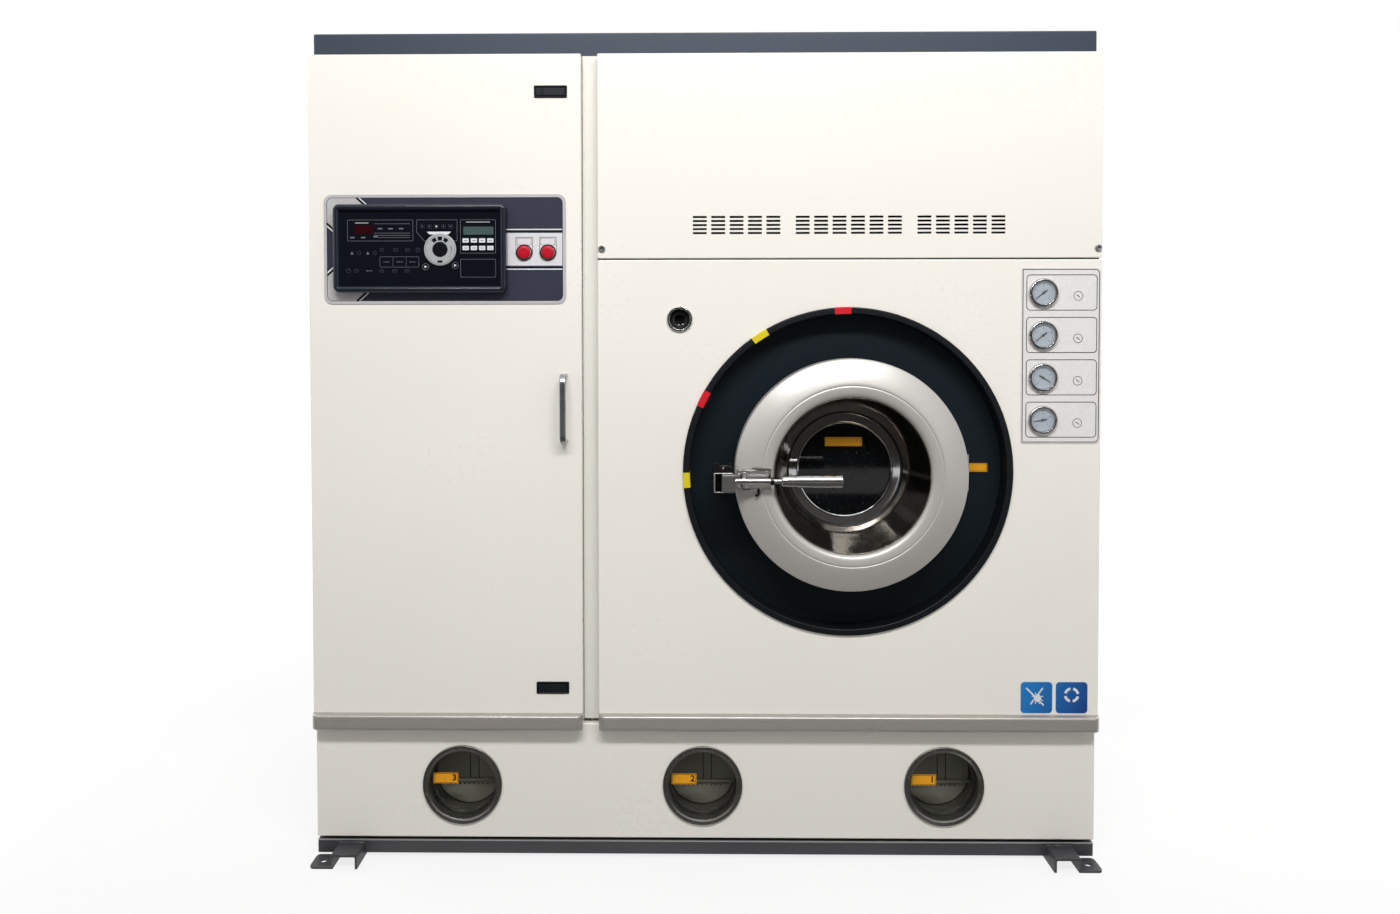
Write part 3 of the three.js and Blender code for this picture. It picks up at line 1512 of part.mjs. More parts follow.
// ---- recovery unit ---------------------------------------------------------------------------

const casingLeft = drumAxisX - casingLeftOfAxis;
const casingRight = halfWidth - casingFromSide;
const fanX = halfWidth - fanFromSide;
const fanFront = casingFront + fanFromFront;
const fanBack = fanFront + fanWidth;

function recoveryCasing() {
  const top = casingBottom + casingHeight;
  const shell = cut(
    box(casingLeft, casingRight, casingFront, casingBack, casingBottom, top),
    box(
      casingLeft + sheet, casingRight - sheet, casingFront + sheet, casingBack - sheet,
      casingBottom + sheet, top - sheet,
    ),
    box(
      drumAxisX - ductWidth / 2, drumAxisX + ductWidth / 2, ductFront, ductFront + ductDepth,
      casingBottom - past, casingBottom + 2 * sheet,
    ),
  );
  const motor = turnedAlongY(
    discProfile(fanMotorRadius, casingBack - sheet, casingBack + fanMotorLength), fanX, fanLevel, plainTurn,
  );
  const shaftHole = turnedAlongY(
    discProfile(fanShaftRadius + runningGap, casingBack - 2 * sheet, casingBack + fanMotorLength / 4),
    fanX, fanLevel, plainTurn,
  );
  return cut(join(shell, motor), shaftHole);
}

function fanWheel() {
  const disc = turnedAlongY([
    [0, fanFront], [fanHubRadius, fanFront], [fanHubRadius, fanBack - fanDiscThickness],
    [fanRadius, fanBack - fanDiscThickness], [fanRadius, fanBack], [fanShaftRadius, fanBack],
    [fanShaftRadius, casingBack + fanMotorLength / 4 - runningGap],
    [0, casingBack + fanMotorLength / 4 - runningGap],
  ], fanX, fanLevel, middleTurn);
  const blades = Array.from({ length: fanBlades }, (_, i) => {
    const blade = new THREE.BoxGeometry(fanRadius - fanHubRadius, fanWidth - 1, fanBladeThickness);
    return blade.translate((fanRadius + fanHubRadius) / 2 - 1, 0, 0)
      .rotateY((2 * Math.PI * i) / fanBlades).translate(fanX, at((fanFront + fanBack) / 2), fanLevel);
  });
  return join(disc, ...blades);
}

addPart('recovery_casing', recoveryCasing(), 'brushed');
addPart('fan_wheel', fanWheel(), 'aluminium');

// ---- still, filter, pump and electrical plate ----------------------------------------------

const stillX = stillFromSide - halfWidth;
const filterX = filterFromSide - halfWidth;
const pumpX = drumAxisX - pumpLeftOfAxis;

// An upright vessel with a domed top and an open nozzle.
function vessel(x, depth, bottom, radius, height, dome) {
  const top = bottom + height;
  const shoulder = top - dome - nozzleHeight;
  const wall = vesselWall;
  return turnedAlongZ([
    [0, bottom], [radius, bottom], [radius, shoulder], [radius * 0.7, shoulder + dome * 0.75],
    [nozzleRadius, shoulder + dome], [nozzleRadius, top], [nozzleRadius - wall, top],
    [nozzleRadius - wall, shoulder + dome - wall], [radius * 0.7 - wall, shoulder + dome * 0.75 - wall],
    [radius - wall, shoulder - wall], [radius - wall, bottom + wall], [0, bottom + wall],
  ], x, depth, plainTurn);
}

function filterVessel() {
  const bottom = tankTop + seat;
  const flangeTop = bottom + filterHeight - filterDome - nozzleHeight - filterFlangeHeight;
  const flange = turnedAlongZ([
    [filterRadius - vesselWall / 2, flangeTop - filterFlangeHeight],
    [filterFlangeRadius, flangeTop - filterFlangeHeight], [filterFlangeRadius, flangeTop],
    [filterRadius - vesselWall / 2, flangeTop],
  ], filterX, filterDepth, plainTurn);
  return join(vessel(filterX, filterDepth, bottom, filterRadius, filterHeight, filterDome), flange);
}

function solventPump() {
  const level = frameTop + seat + pumpFootHeight + voluteRadius;
  const body = turnedAlongX([
    [0, pumpX - pumpLength / 2], [pumpRadius, pumpX - pumpLength / 2], [pumpRadius, pumpX + pumpLength / 2],
    [voluteRadius, pumpX + pumpLength / 2], [voluteRadius, pumpX + pumpLength / 2 + voluteLength],
    [0, pumpX + pumpLength / 2 + voluteLength],
  ], pumpDepth, level, plainTurn);
  const base = box(
    pumpX - pumpLength / 2, pumpX + pumpLength / 2 + voluteLength, pumpDepth - pumpRadius,
    pumpDepth + pumpRadius, frameTop + seat, frameTop + seat + pumpFootHeight,
  );
  const post = box(
    pumpX - pumpLength / 3, pumpX + pumpLength / 3, pumpDepth - pumpRadius / 2,
    pumpDepth + pumpRadius / 2, frameTop + pumpFootHeight, level,
  );
  return join(body, base, post);
}

// The mounting plate behind the cabinet door, with rows of switchgear on it.
function electricalPlate() {
  const left = electricFromSide - halfWidth;
  const right = dividerX - dividerThickness / 2 - electricFromDivider;
  const back = carcassBack / 2;
  const bottom = lowerPanelTop + electricAboveSill;
  const top = carcassTop - electricBelowTop;
  const plate = box(left, right, back - sheet, back, bottom, top);
  const pitch = (top - bottom) / electricRails;
  const rails = Array.from({ length: electricRails }, (_, i) => {
    const middle = bottom + (i + 0.5) * pitch;
    return box(
      left + flangeWidth, right - flangeWidth, back - sheet - electricRailReach,
      back - sheet / 2, middle - electricRailHeight / 2, middle + electricRailHeight / 2,
    );
  });
  return join(plate, ...rails);
}

addPart(
  'distillation_still',
  vessel(stillX, stillDepth, frameTop + seat, stillRadius, stillHeight, stillDome),
  'brushed',
);
addPart('filter_vessel', filterVessel(), 'brushed');
addPart('solvent_pump', solventPump(), 'motorBlue');
addPart('electrical_plate', electricalPlate(), 'brushed');

export default machine;
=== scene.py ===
import math

import bmesh
import bpy
from mathutils import Matrix, Vector
from mathutils.geometry import tessellate_polygon


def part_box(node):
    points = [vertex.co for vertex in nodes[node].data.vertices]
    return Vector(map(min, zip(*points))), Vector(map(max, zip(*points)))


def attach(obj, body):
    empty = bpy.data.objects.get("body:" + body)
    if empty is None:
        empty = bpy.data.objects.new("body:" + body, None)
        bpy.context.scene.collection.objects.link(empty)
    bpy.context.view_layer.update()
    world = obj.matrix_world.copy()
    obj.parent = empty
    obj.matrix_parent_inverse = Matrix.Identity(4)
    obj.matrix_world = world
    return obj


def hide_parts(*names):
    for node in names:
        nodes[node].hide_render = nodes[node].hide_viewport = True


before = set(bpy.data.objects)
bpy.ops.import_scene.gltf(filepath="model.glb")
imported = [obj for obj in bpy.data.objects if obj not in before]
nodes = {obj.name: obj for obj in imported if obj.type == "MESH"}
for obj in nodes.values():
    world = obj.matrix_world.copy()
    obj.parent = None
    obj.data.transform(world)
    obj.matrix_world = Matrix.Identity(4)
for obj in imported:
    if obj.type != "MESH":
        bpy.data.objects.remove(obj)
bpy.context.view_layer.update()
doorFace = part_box("upper_vent_panel")[0].y  # Y of the doors' face; depths count back from it
mm = 0.001
sharpAngle = math.radians(34)  # edges steeper than this are drawn sharp
print("frame loaded,", len(nodes), "solids")


# places are in millimetres, from the floor under the middle of the doors' face
def onFront(u, v, w):  # u to the right, v up, w into the machine
    return Vector((u * mm, doorFace + w * mm, v * mm))


def onTop(u, v, w):  # u to the right, v into the machine, w up
    return Vector((u * mm, doorFace + v * mm, w * mm))


def onSide(u, v, w):  # u into the machine, v up, w to the right
    return Vector((w * mm, doorFace + u * mm, v * mm))


def around(centre, radius, angle):  # a place at an angle in degrees, anticlockwise from the right
    angle = math.radians(angle)
    return (centre[0] + radius * math.cos(angle), centre[1] + radius * math.sin(angle))


def arcPoints(x, y, radius, start, end, steps):
    return [around((x, y), radius, start + (end - start) * i / steps) for i in range(steps + 1)]


def circle(x, y, radius, steps=48):
    return arcPoints(x, y, radius, 0, 360, steps)[:-1]


def roundRect(left, right, bottom, top, radius=0.0, steps=4):
    radii = radius if isinstance(radius, tuple) else (radius,) * 4  # from the lower left, anticlockwise
    corners = [(left, bottom, 1, 1), (right, bottom, -1, 1), (right, top, -1, -1), (left, top, 1, -1)]
    points = []
    for i, (x, y, inX, inY) in enumerate(corners):
        if radii[i] <= 0:
            points.append((x, y))
        else:
            start = 180 + 90 * i
            points += arcPoints(x + inX * radii[i], y + inY * radii[i], radii[i], start, start + 90, steps)
    return points


# the profile of a disc, rod or sleeve, for turning
def rod(inner, outer, low, high, soft=0.0):
    return filleted([(inner, low), (outer, low, soft), (outer, high, soft), (inner, high)])


def area(points):
    return sum(a[0] * b[1] - b[0] * a[1] for a, b in zip(points, points[1:] + points[:1])) / 2


def inset(points, distance):  # moves a loop to its left, which is into the material
    moved = []
    for before, here, after in zip(points[-1:] + points[:-1], points, points[1:] + points[:1]):
        a = Vector((here[0] - before[0], here[1] - before[1])).normalized()
        b = Vector((after[0] - here[0], after[1] - here[1])).normalized()
        normal = Vector((-a.y - b.y, a.x + b.x))
        normal = normal.normalized() if normal.length > 1e-6 else Vector((-a.y, a.x))
        stretch = max(0.5, normal.dot(Vector((-a.y, a.x))))
        moved.append((here[0] + normal.x * distance / stretch, here[1] + normal.y * distance / stretch))
    return moved


def filleted(points, steps=4):  # (u, v) or (u, v, radius) per corner of a closed profile
    corners = [(p[0], p[1], p[2] if len(p) > 2 else 0) for p in points]
    result = []
    for before, here, after in zip(corners[-1:] + corners[:-1], corners, corners[1:] + corners[:1]):
        if not here[2]:
            result.append(here[:2])
            continue
        middle = Vector(here[:2])
        a = Vector(before[:2]) - middle
        b = Vector(after[:2]) - middle
        half = a.angle(b) / 2
        reach = min(here[2] / math.tan(half), a.length * 0.49, b.length * 0.49)
        first, last = middle + a.normalized() * reach, middle + b.normalized() * reach
        for i in range(steps + 1):
            t = i / steps
            point = first * (1 - t) ** 2 + middle * 2 * t * (1 - t) + last * t ** 2
            result.append((point.x, point.y))
    return result


def placed(name, data):  # an object in the scene that carries the data
    made = bpy.data.objects.new(name, data)
    bpy.context.scene.collection.objects.link(made)
    return made


class Piece:  # gathers the closed shapes of one piece into one mesh
    def __init__(self, finish):
        self.mesh = bmesh.new()
        self.finishes = [finish]
        self.current = 0

    def use(self, finish):
        if finish not in self.finishes:
            self.finishes.append(finish)
        self.current = self.finishes.index(finish)
        return self

    def add(self, points, faces):
        made = [self.mesh.verts.new(point) for point in points]
        for face in faces:
            corners = [made[i] for i in face]
            if len(set(corners)) > 2:
                new = self.mesh.faces.new(corners)
                new.material_index = self.current
        return self

    def loft(self, rings, capFirst=True, capLast=True):  # rings of as many points each
        points, faces, count = [], [], len(rings[0])
        for ring in rings:
            points += ring
        for r in range(len(rings) - 1):
            for i in range(count):
                j = (i + 1) % count
                faces.append((r * count + i, r * count + j, (r + 1) * count + j, (r + 1) * count + i))
        if capFirst:
            faces.append(tuple(range(count)))
        if capLast:
            faces.append(tuple(range((len(rings) - 1) * count, len(rings) * count)))
        return self.add(points, faces)

    # a flat part with holes; its levels are (inset, depth) pairs from the front round to the back
    def sheet(self, outline, holes, levels, holeLevels, face):
        loops = [outline if area(outline) > 0 else outline[::-1]]
        loops += [hole if area(hole) < 0 else hole[::-1] for hole in holes]
        points, faces, firsts, lasts = [], [], [], []
        for k, loop in enumerate(loops):
            rows = levels if k == 0 else holeLevels
            count = len(loop)
            for r, (step, depth) in enumerate(rows):
                start = len(points)
                points += [face(u, v, depth) for u, v in (inset(loop, step) if step else loop)]
                if r == 0:
                    firsts.append(list(range(start, start + count)))
                else:
                    for i in range(count):
                        j = (i + 1) % count
                        faces.append((start - count + i, start - count + j, start + j, start + i))
                if r == len(rows) - 1:
                    lasts.append(list(range(start, start + count)))
        for ends in (firsts, lasts):
            flat = [[points[i] for i in end] for end in ends]
            order = [i for end in ends for i in end]
            faces += [tuple(order[i] for i in triangle) for triangle in tessellate_polygon(flat)]
        return self.add(points, faces)

    def plate(self, outline, low, high, bevel=0.3, holes=(), face=onFront):
        soft = bevel * 0.3
        levels = [(0, low), (0, high)]
        if bevel:
            levels = [(bevel, low), (soft, low + soft), (0, low + bevel)]
            levels += [(0, high - bevel), (soft, high - soft), (bevel, high)]
        return self.sheet(outline, list(holes), levels, levels, face)

    def block(self, left, right, front, back, bottom, top, bevel=0.5):
        return self.plate(roundRect(left, right, bottom, top, bevel, 2), front, back, bevel)

    # a sheet folded back along its edges, open behind
    def tray(self, outline, holes, front, back, fold=2.6, wall=2.0, face=onFront):
        side = 1 if back > front else -1
        turns = [math.radians(90 * i / 4) for i in range(5)]
        bend = [(1 - math.sin(a), 1 - math.cos(a)) for a in turns]
        tight = fold - wall
        outer = [(fold * across, front + side * fold * deep) for across, deep in bend]
        inner = [(wall + tight * across, front + side * (wall + tight * deep)) for across, deep in bend]
        levels = outer + [(0, back), (wall, back)] + inner[::-1]
        cutEdge = [(0.3, front), (0, front + side * 0.3), (0, front + side * wall)]
        return self.sheet(outline, list(holes), levels, cutEdge, face)

    # a closed profile of (radius, place) turned about an axis through the centre
    def turn(self, profile, centre, axis="y", steps=96, start=0, sweep=360):
        full = sweep == 360
        face = {"x": onSide, "y": onFront, "z": onTop}[axis]
        count = len(profile)
        stations = steps if full else steps + 1
        points, index = [], []
        for s in range(stations):
            angle = math.radians(start + sweep * s / steps)
            row = []
            for k, (radius, place) in enumerate(profile):
                if radius < 1e-6 and s:
                    row.append(index[0][k])
                    continue
                across, up = radius * math.cos(angle), radius * math.sin(angle)
                row.append(len(points))
                points.append(face(centre[0] + across, centre[1] + up, place))
            index.append(row)
        faces = []
        for s in range(steps):
            here, there = index[s], index[(s + 1) % stations]
            for k in range(count):
                m = (k + 1) % count
                corners = [here[k], here[m], there[m], there[k]]
                corners = [c for i, c in enumerate(corners) if c not in corners[:i]]
                if len(corners) > 2:
                    faces.append(tuple(corners))
        if not full:
            faces += [tuple(index[0]), tuple(index[-1])]
        return self.add(points, faces)

    # thin raised ink: a filled shape on a flat front
    def ink(self, outline, depth, holes=(), lift=0.15):
        return self.plate(outline, depth - lift, depth, 0, holes)

    def inkFrame(self, outline, width, depth, lift=0.15):
        loop = outline if area(outline) > 0 else outline[::-1]
        return self.ink(loop, depth, [inset(loop, width)], lift)

    def inkLine(self, start, end, width, depth, lift=0.15):
        run = Vector((end[0] - start[0], end[1] - start[1])).normalized() * width / 2
        side = Vector((-run.y, run.x))
        corners = [(start[0] - side.x, start[1] - side.y), (end[0] - side.x, end[1] - side.y),
                   (end[0] + side.x, end[1] + side.y), (start[0] + side.x, start[1] + side.y)]
        return self.ink(corners, depth, (), lift)

    def inkNumber(self, text, size, x, z, depth, bold=0.0):
        curve = bpy.data.curves.new("number", "FONT")
        curve.body = text
        curve.size = size
        curve.align_x = "CENTER"
        curve.align_y = "CENTER"
        curve.extrude = 0.08
        curve.offset = bold
        carrier = bpy.data.objects.new("number", curve)
        flat = bpy.data.meshes.new_from_object(carrier)
        points = [onFront(x + v.co.x, z + v.co.y, depth - 0.09 - v.co.z) for v in flat.vertices]
        self.add(points, [tuple(p.vertices) for p in flat.polygons])
        bpy.data.objects.remove(carrier)
        bpy.data.curves.remove(curve)
        bpy.data.meshes.remove(flat)
        return self

    def built(self, name):
        bmesh.ops.recalc_face_normals(self.mesh, faces=self.mesh.faces)
        data = bpy.data.meshes.new(name)
        self.mesh.to_mesh(data)
        self.mesh.free()
        return data

    def ready(self, name, body, slot, *replaced):
        bmesh.ops.remove_doubles(self.mesh, verts=self.mesh.verts, dist=1e-6)
        data = self.built(name)
        for finish in self.finishes:
            data.materials.append(finish)
        data.polygons.foreach_set("use_smooth", [True] * len(data.polygons))
        data.set_sharp_from_angle(angle=sharpAngle)
        made = placed(name, data)
        normals = made.modifiers.new("normals", "WEIGHTED_NORMAL")
        normals.keep_sharp = True
        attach(made, body)
        if replaced:
            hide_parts(*replaced)
        return made


def carve(made, left, right, front, back, bottom, top):  # takes a box out of a finished piece
    tool = Piece(made.data.materials[0]).block(left, right, front, back, bottom, top, 0.4)
    cutter = placed("tool", tool.built("tool"))
    step = made.modifiers.new("cut", "BOOLEAN")
    step.operation = "DIFFERENCE"
    step.solver = "EXACT"
    step.object = cutter
    made.modifiers.move(len(made.modifiers) - 1, 0)
    bpy.context.view_layer.update()
    ready = bpy.data.meshes.new_from_object(made.evaluated_get(bpy.context.evaluated_depsgraph_get()))
    made.modifiers.remove(step)
    made.data = ready
    ready.set_sharp_from_angle(angle=sharpAngle)
    bpy.data.objects.remove(cutter)


def tint(red, green, blue):  # a colour as it is seen on screen, 0 to 255
    parts = [c / 255 for c in (red, green, blue)]
    return tuple(c / 12.92 if c <= 0.04045 else ((c + 0.055) / 1.055) ** 2.4 for c in parts) + (1,)


def shade(colour, share):
    return tuple(c * share for c in colour[:3]) + (1,)


class Wire:  # a socket's value, to calculate with
    def __init__(self, finish, socket):
        self.finish = finish
        self.socket = socket

    def maths(self, operation, first, second):
        return self.finish.node("Math", {"operation": operation}, {0: first, 1: second})

    def __add__(self, other):
        return self.maths("ADD", self, other)

    def __radd__(self, other):
        return self.maths("ADD", other, self)

    def __sub__(self, other):
        return self.maths("SUBTRACT", self, other)

    def __rsub__(self, other):
        return self.maths("SUBTRACT", other, self)

    def __mul__(self, other):
        return self.maths("MULTIPLY", self, other)

    def __truediv__(self, other):
        return self.maths("DIVIDE", self, other)

    def __mod__(self, other):
        return self.maths("FLOORED_MODULO", self, other)


class Finish:
    def __init__(self, name):
        self.material = bpy.data.materials.new(name)
        self.material.use_nodes = True
        self.tree = self.material.node_tree
        self.shader = self.tree.nodes["Principled BSDF"]
        self.place = self.node("TexCoord", {}, {}, "Object")

    def fill(self, socket, value):
        if isinstance(value, Wire):
            self.tree.links.new(value.socket, socket)
        else:
            socket.default_value = value

    def node(self, kind, settings, sockets, output=0):
        made = self.tree.nodes.new("ShaderNode" + kind)
        for name, value in settings.items():
            setattr(made, name, value)
        for name, value in sockets.items():
            self.fill(made.inputs[name], value)
        return Wire(self, made.outputs[output])

    def noise(self, scale, detail=2.0, roughness=0.5, stretch=None):
        place = self.place
        if stretch:
            place = self.node("VectorMath", {"operation": "MULTIPLY"}, {0: place, 1: stretch})
        sockets = {"Vector": place, "Scale": scale, "Detail": detail, "Roughness": roughness}
        return self.node("TexNoise", {}, sockets)

    def span(self, value, low, high, toLow=0.0, toHigh=1.0):
        sockets = {"Value": value, "From Min": low, "From Max": high, "To Min": toLow, "To Max": toHigh}
        return self.node("MapRange", {}, sockets)

    def mix(self, factor, first, second):
        return self.node("Mix", {"data_type": "RGBA"}, {0: factor, 6: first, 7: second}, 2)

    def bump(self, height, distance, strength=1.0):
        return self.node("Bump", {}, {"Height": height, "Distance": distance, "Strength": strength})

    def axis(self, name):
        return self.node("SeparateXYZ", {}, {"Vector": self.place}, name)

    def edges(self, radius):  # 1 where an edge of the piece is near
        soft = self.node("Bevel", {"samples": 4}, {"Radius": radius})
        true = self.node("NewGeometry", {}, {}, "Normal")
        alike = self.node("VectorMath", {"operation": "DOT_PRODUCT"}, {0: soft, 1: true}, "Value")
        return self.span(alike, 0.995, 0.86)

    def surface(self, sockets):
        for name, value in sockets.items():
            self.fill(self.shader.inputs[name], value)
        return self.material


# stoved paint with orange peel
def sprayed(name, colour, deep, roughness, peel, worn=None, metal=0.0, shine=0.5):
    look = Finish(name)
    cloud = look.span(look.noise(2.2, 3), 0.3, 0.7)
    fine = look.noise(90, 4, 0.6)
    grain = look.noise(520, 2)
    paint = look.mix(cloud * 0.6 + fine * 0.12, tint(*colour), tint(*deep))
    rough = roughness + (fine - 0.5) * 0.12 + (cloud - 0.5) * 0.05
    if worn:
        edge = look.edges(0.0016) * look.span(look.noise(45, 5, 0.7), 0.42, 0.6)
        paint = look.mix(edge, paint, tint(*worn))
    return look.surface({
        "Base Color": paint, "Roughness": rough, "Metallic": metal, "Specular IOR Level": shine,
        "Normal": look.bump(grain, peel, 0.5),
    })


# metal drawn along one direction
def brushed(name, colour, roughness, stretch, depth=0.00004, metal=1.0):
    look = Finish(name)
    lines = look.noise(1.0, 3, 0.7, stretch)
    smear = look.noise(9, 4, 0.6)
    pale = tint(*colour)
    return look.surface({
        "Base Color": look.mix(lines * 0.5 + smear * 0.3, pale, shade(pale, 0.72)),
        "Roughness": roughness + (lines - 0.5) * 0.16 + (smear - 0.5) * 0.14,
        "Metallic": metal, "Normal": look.bump(lines, depth, 0.35),
    })


# turned and buffed about an axis along Y
def polished(name, colour, roughness, centre, ripple=0.0, pitch=0.0016):
    look = Finish(name)
    x = look.axis("X") - centre[0] * mm
    z = look.axis("Z") - centre[1] * mm
    radius = look.node("Math", {"operation": "SQRT"}, {0: x * x + z * z})
    sockets = {"W": radius / pitch, "Scale": 1.0, "Detail": 3.0}
    rings = look.node("TexNoise", {"noise_dimensions": "1D"}, sockets)
    smear = look.noise(22, 4, 0.65)
    spots = look.span(look.noise(160, 3), 0.66, 0.74)
    pale = tint(*colour)
    return look.surface({
        "Base Color": look.mix(smear * 0.5 + spots * 0.3, pale, shade(pale, 0.6)),
        "Roughness": roughness + (rings - 0.5) * 0.05 + look.span(smear, 0.5, 0.8) * 0.1 + spots * 0.15,
        "Metallic": 1.0, "Normal": look.bump(rings + look.noise(16, 2) * ripple, 0.00002, 0.3),
    })


# moulded plastic or rubber, paler along its rubbed edges
def moulded(name, colour, pale, roughness, grainSize, grainDepth, shine):
    look = Finish(name)
    grain = look.noise(grainSize, 2)
    haze = look.noise(12, 4, 0.6)
    edge = look.edges(0.001) * look.noise(60, 3)
    return look.surface({
        "Base Color": look.mix(haze * 0.35 + edge * 0.5, tint(*colour), tint(*pale)),
        "Roughness": roughness + (haze - 0.5) * 0.12 + (grain - 0.5) * 0.08,
        "Specular IOR Level": shine, "Normal": look.bump(grain, grainDepth, 0.5),
    })


def printed(name, colour, roughness=0.4, shine=0.4):  # an even ink or foil with a little mottle
    look = Finish(name)
    mottle = look.noise(140, 3)
    pale = tint(*colour)
    return look.surface({
        "Base Color": look.mix(mottle, pale, shade(pale, 0.84)),
        "Roughness": roughness + (mottle - 0.5) * 0.1,
        "Specular IOR Level": shine, "Normal": look.bump(mottle, 0.00002, 0.2),
    })


def glazed(name, colour, alpha, roughness=0.03):  # a pane that lets light through to what is behind it
    look = Finish(name)
    haze = look.noise(7, 4, 0.6)
    dust = look.span(look.noise(240, 3), 0.62, 0.75)
    return look.surface({
        "Base Color": look.mix(dust * 0.25, tint(*colour), tint(120, 124, 124)),
        "Roughness": roughness + look.span(haze, 0.5, 0.8) * 0.06 + dust * 0.1,
        "Alpha": alpha + dust * 0.08, "Specular IOR Level": 0.3,
    })


drumCentre = (327, 903)
enamel = sprayed("enamel", (240, 236, 228), (235, 231, 222), 0.3, 0.00003)
# the panels' enamel made darker for the centre column: painted shade on the recessed strip between the doors
columnShadedEnamel = sprayed("column_enamel_painted_shade", (228, 226, 219), (222, 220, 212), 0.32, 0.00006)
slate = sprayed("slate", (46, 57, 72), (40, 50, 64), 0.4, 0.00006, (112, 118, 130), 0.0, 0.35)
frameSteel = sprayed("frame_steel", (70, 70, 74), (48, 48, 52), 0.5, 0.0001, (130, 128, 126), 0.3)
tubPaint = sprayed("tub_paint", (24, 33, 39), (14, 21, 27), 0.42, 0.00008, shine=0.15)
silverPaint = sprayed("silver_paint", (196, 193, 188), (186, 183, 178), 0.4, 0.00005, None, 0.34)
rubber = moulded("rubber", (13, 15, 19), (26, 28, 34), 0.4, 600, 0.00005, 0.3)
blackPlastic = moulded("black_plastic", (24, 30, 42), (36, 42, 55), 0.2, 900, 0.00002, 0.45)
mattBlack = moulded("matt_black", (10, 10, 13), (26, 26, 30), 0.55, 900, 0.00003, 0.2)
paddleBlack = moulded("paddle_black", (20, 22, 29), (34, 37, 45), 0.4, 900, 0.00003, 0.25)
faceFilm = moulded("face_film", (15, 17, 24), (21, 24, 33), 0.16, 1500, 0.00001, 0.12)
signalRed = moulded("signal_red", (178, 8, 34), (198, 26, 48), 0.42, 1200, 0.00001, 0.22)
handleSilver = brushed("handle_silver", (178, 180, 184), 0.3, (3000, 3000, 12))
leverMetal = brushed("lever_metal", (204, 203, 202), 0.2, (14, 2600, 2600))
noseMetal = brushed("nose_metal", (128, 126, 123), 0.34, (30, 1500, 1500), 0.00003, 0.7)
collarSteel = brushed("collar_steel", (66, 64, 62), 0.3, (40, 400, 400))
plateMetal = brushed("latch_plate_metal", (206, 204, 200), 0.2, (20, 1500, 1500))
brushedSteel = brushed("brushed_steel", (186, 186, 184), 0.32, (8, 8, 1600))
castIron = sprayed("cast_iron", (64, 70, 76), (48, 52, 58), 0.55, 0.0003, (120, 120, 120), 0.5)
motorPaint = sprayed("motor_paint", (64, 88, 108), (50, 70, 88), 0.42, 0.0001, (120, 128, 134), 0.1)
panSteel = polished("pan_steel", (150, 143, 131), 0.1, drumCentre, 80.0)
retainerSteel = polished("retainer_steel", (188, 188, 190), 0.05, drumCentre)
gaugeChrome = brushed("gauge_chrome", (206, 206, 206), 0.14, (40, 40, 40))
portholeSteel = brushed("porthole_steel", (150, 149, 145), 0.3, (60, 60, 60))
wellSteel = brushed("well_steel", (84, 82, 72), 0.4, (40, 40, 400), 0.00003, 0.4)
strainerSteel = brushed("strainer_steel", (178, 176, 160), 0.45, (500, 40, 40), 0.00003, 0.2)
# paler metal for the frame's top front edge: painted highlight where the edge catches the light
frameEdgeHighlight = brushed("frame_edge_painted_highlight", (168, 167, 165), 0.4, (20, 900, 900), 0.00003, 0.4)
doorPane = glazed("door_pane", (9, 11, 13), 0.86)
sightPane = glazed("sight_pane", (16, 18, 16), 0.16)
lens = glazed("lens", (210, 214, 216), 0.08)
plateSilver = printed("plate_silver", (194, 191, 193), 0.34)
fieldSlate = printed("field_slate", (56, 58, 73), 0.36, 0.2)
bandSilver = printed("band_silver", (224, 222, 225), 0.34)
dialSilver = brushed("dial_silver", (190, 192, 194), 0.38, (600, 600, 20), 0.00002, 0.3)
sillMetal = brushed("sill_metal", (184, 179, 174), 0.3, (10, 1800, 1800), 0.00003, 0.42)
inkWhite = printed("ink_white", (226, 228, 230))
inkGrey = printed("ink_grey", (112, 116, 126))
inkPlate = printed("ink_plate", (52, 48, 52))
inkDim = printed("ink_dim", (64, 68, 80))
inkBlack = printed("ink_black", (12, 12, 16), 0.4, 0.15)
keyWhite = printed("key_white", (222, 226, 230), 0.3)
displayGreen = printed("display_green", (72, 90, 90), 0.15)
displayRed = printed("display_red", (46, 9, 16), 0.15, 0.2)
dialWhite = printed("dial_white", (176, 186, 195), 0.4)
plateWhite = printed("plate_white", (233, 230, 228), 0.36)
labelOrange = printed("label_orange", (240, 166, 26), 0.35)
tabRed = printed("tab_red", (214, 30, 46), 0.35)
tabYellow = printed("tab_yellow", (226, 205, 38), 0.35)
print("finishes made")


cabinet = {"left": -900, "right": 900, "back": 1150, "height": 1910}
front = {
    "foot": 48, "sill": 316, "seam": 1387, "top": 1852, "corner": 3, "lowerFront": 17, "back": 41.7,
    "doorRight": -278.5, "panelLeft": -241.5, "doorThickness": 38, "hinges": (480, 1640),
}
portholes = {"places": (-560, -3, 554), "level": 172, "hole": 85, "numbers": ("3", "2", "1")}
vents = {
    "starts": (-25, 208, 483), "columns": (5, 6, 5), "rows": 5, "first": 1446,
    "rowPitch": 9.1, "columnPitch": 41.7, "length": 31.5, "height": 4.8,
}
coverScrew = {"places": {"left": -232, "right": 890.5}, "level": 1411, "hole": 4.5}
gauges = {
    "x": 767, "levels": (1309.5, 1213.5, 1117.5, 1021.5), "hole": 28,
    "needles": (232, 232, 120, 260),  # degrees clockwise from straight up
}
sight = {"centre": (-55, 1251), "hole": 26.5}
latches = {"levels": (405, 1766), "left": -384.5, "right": -309.5, "pivot": -364.25}
console = {"left": -865, "right": -313, "bottom": 1286, "top": 1535, "corner": 19, "rim": 7}
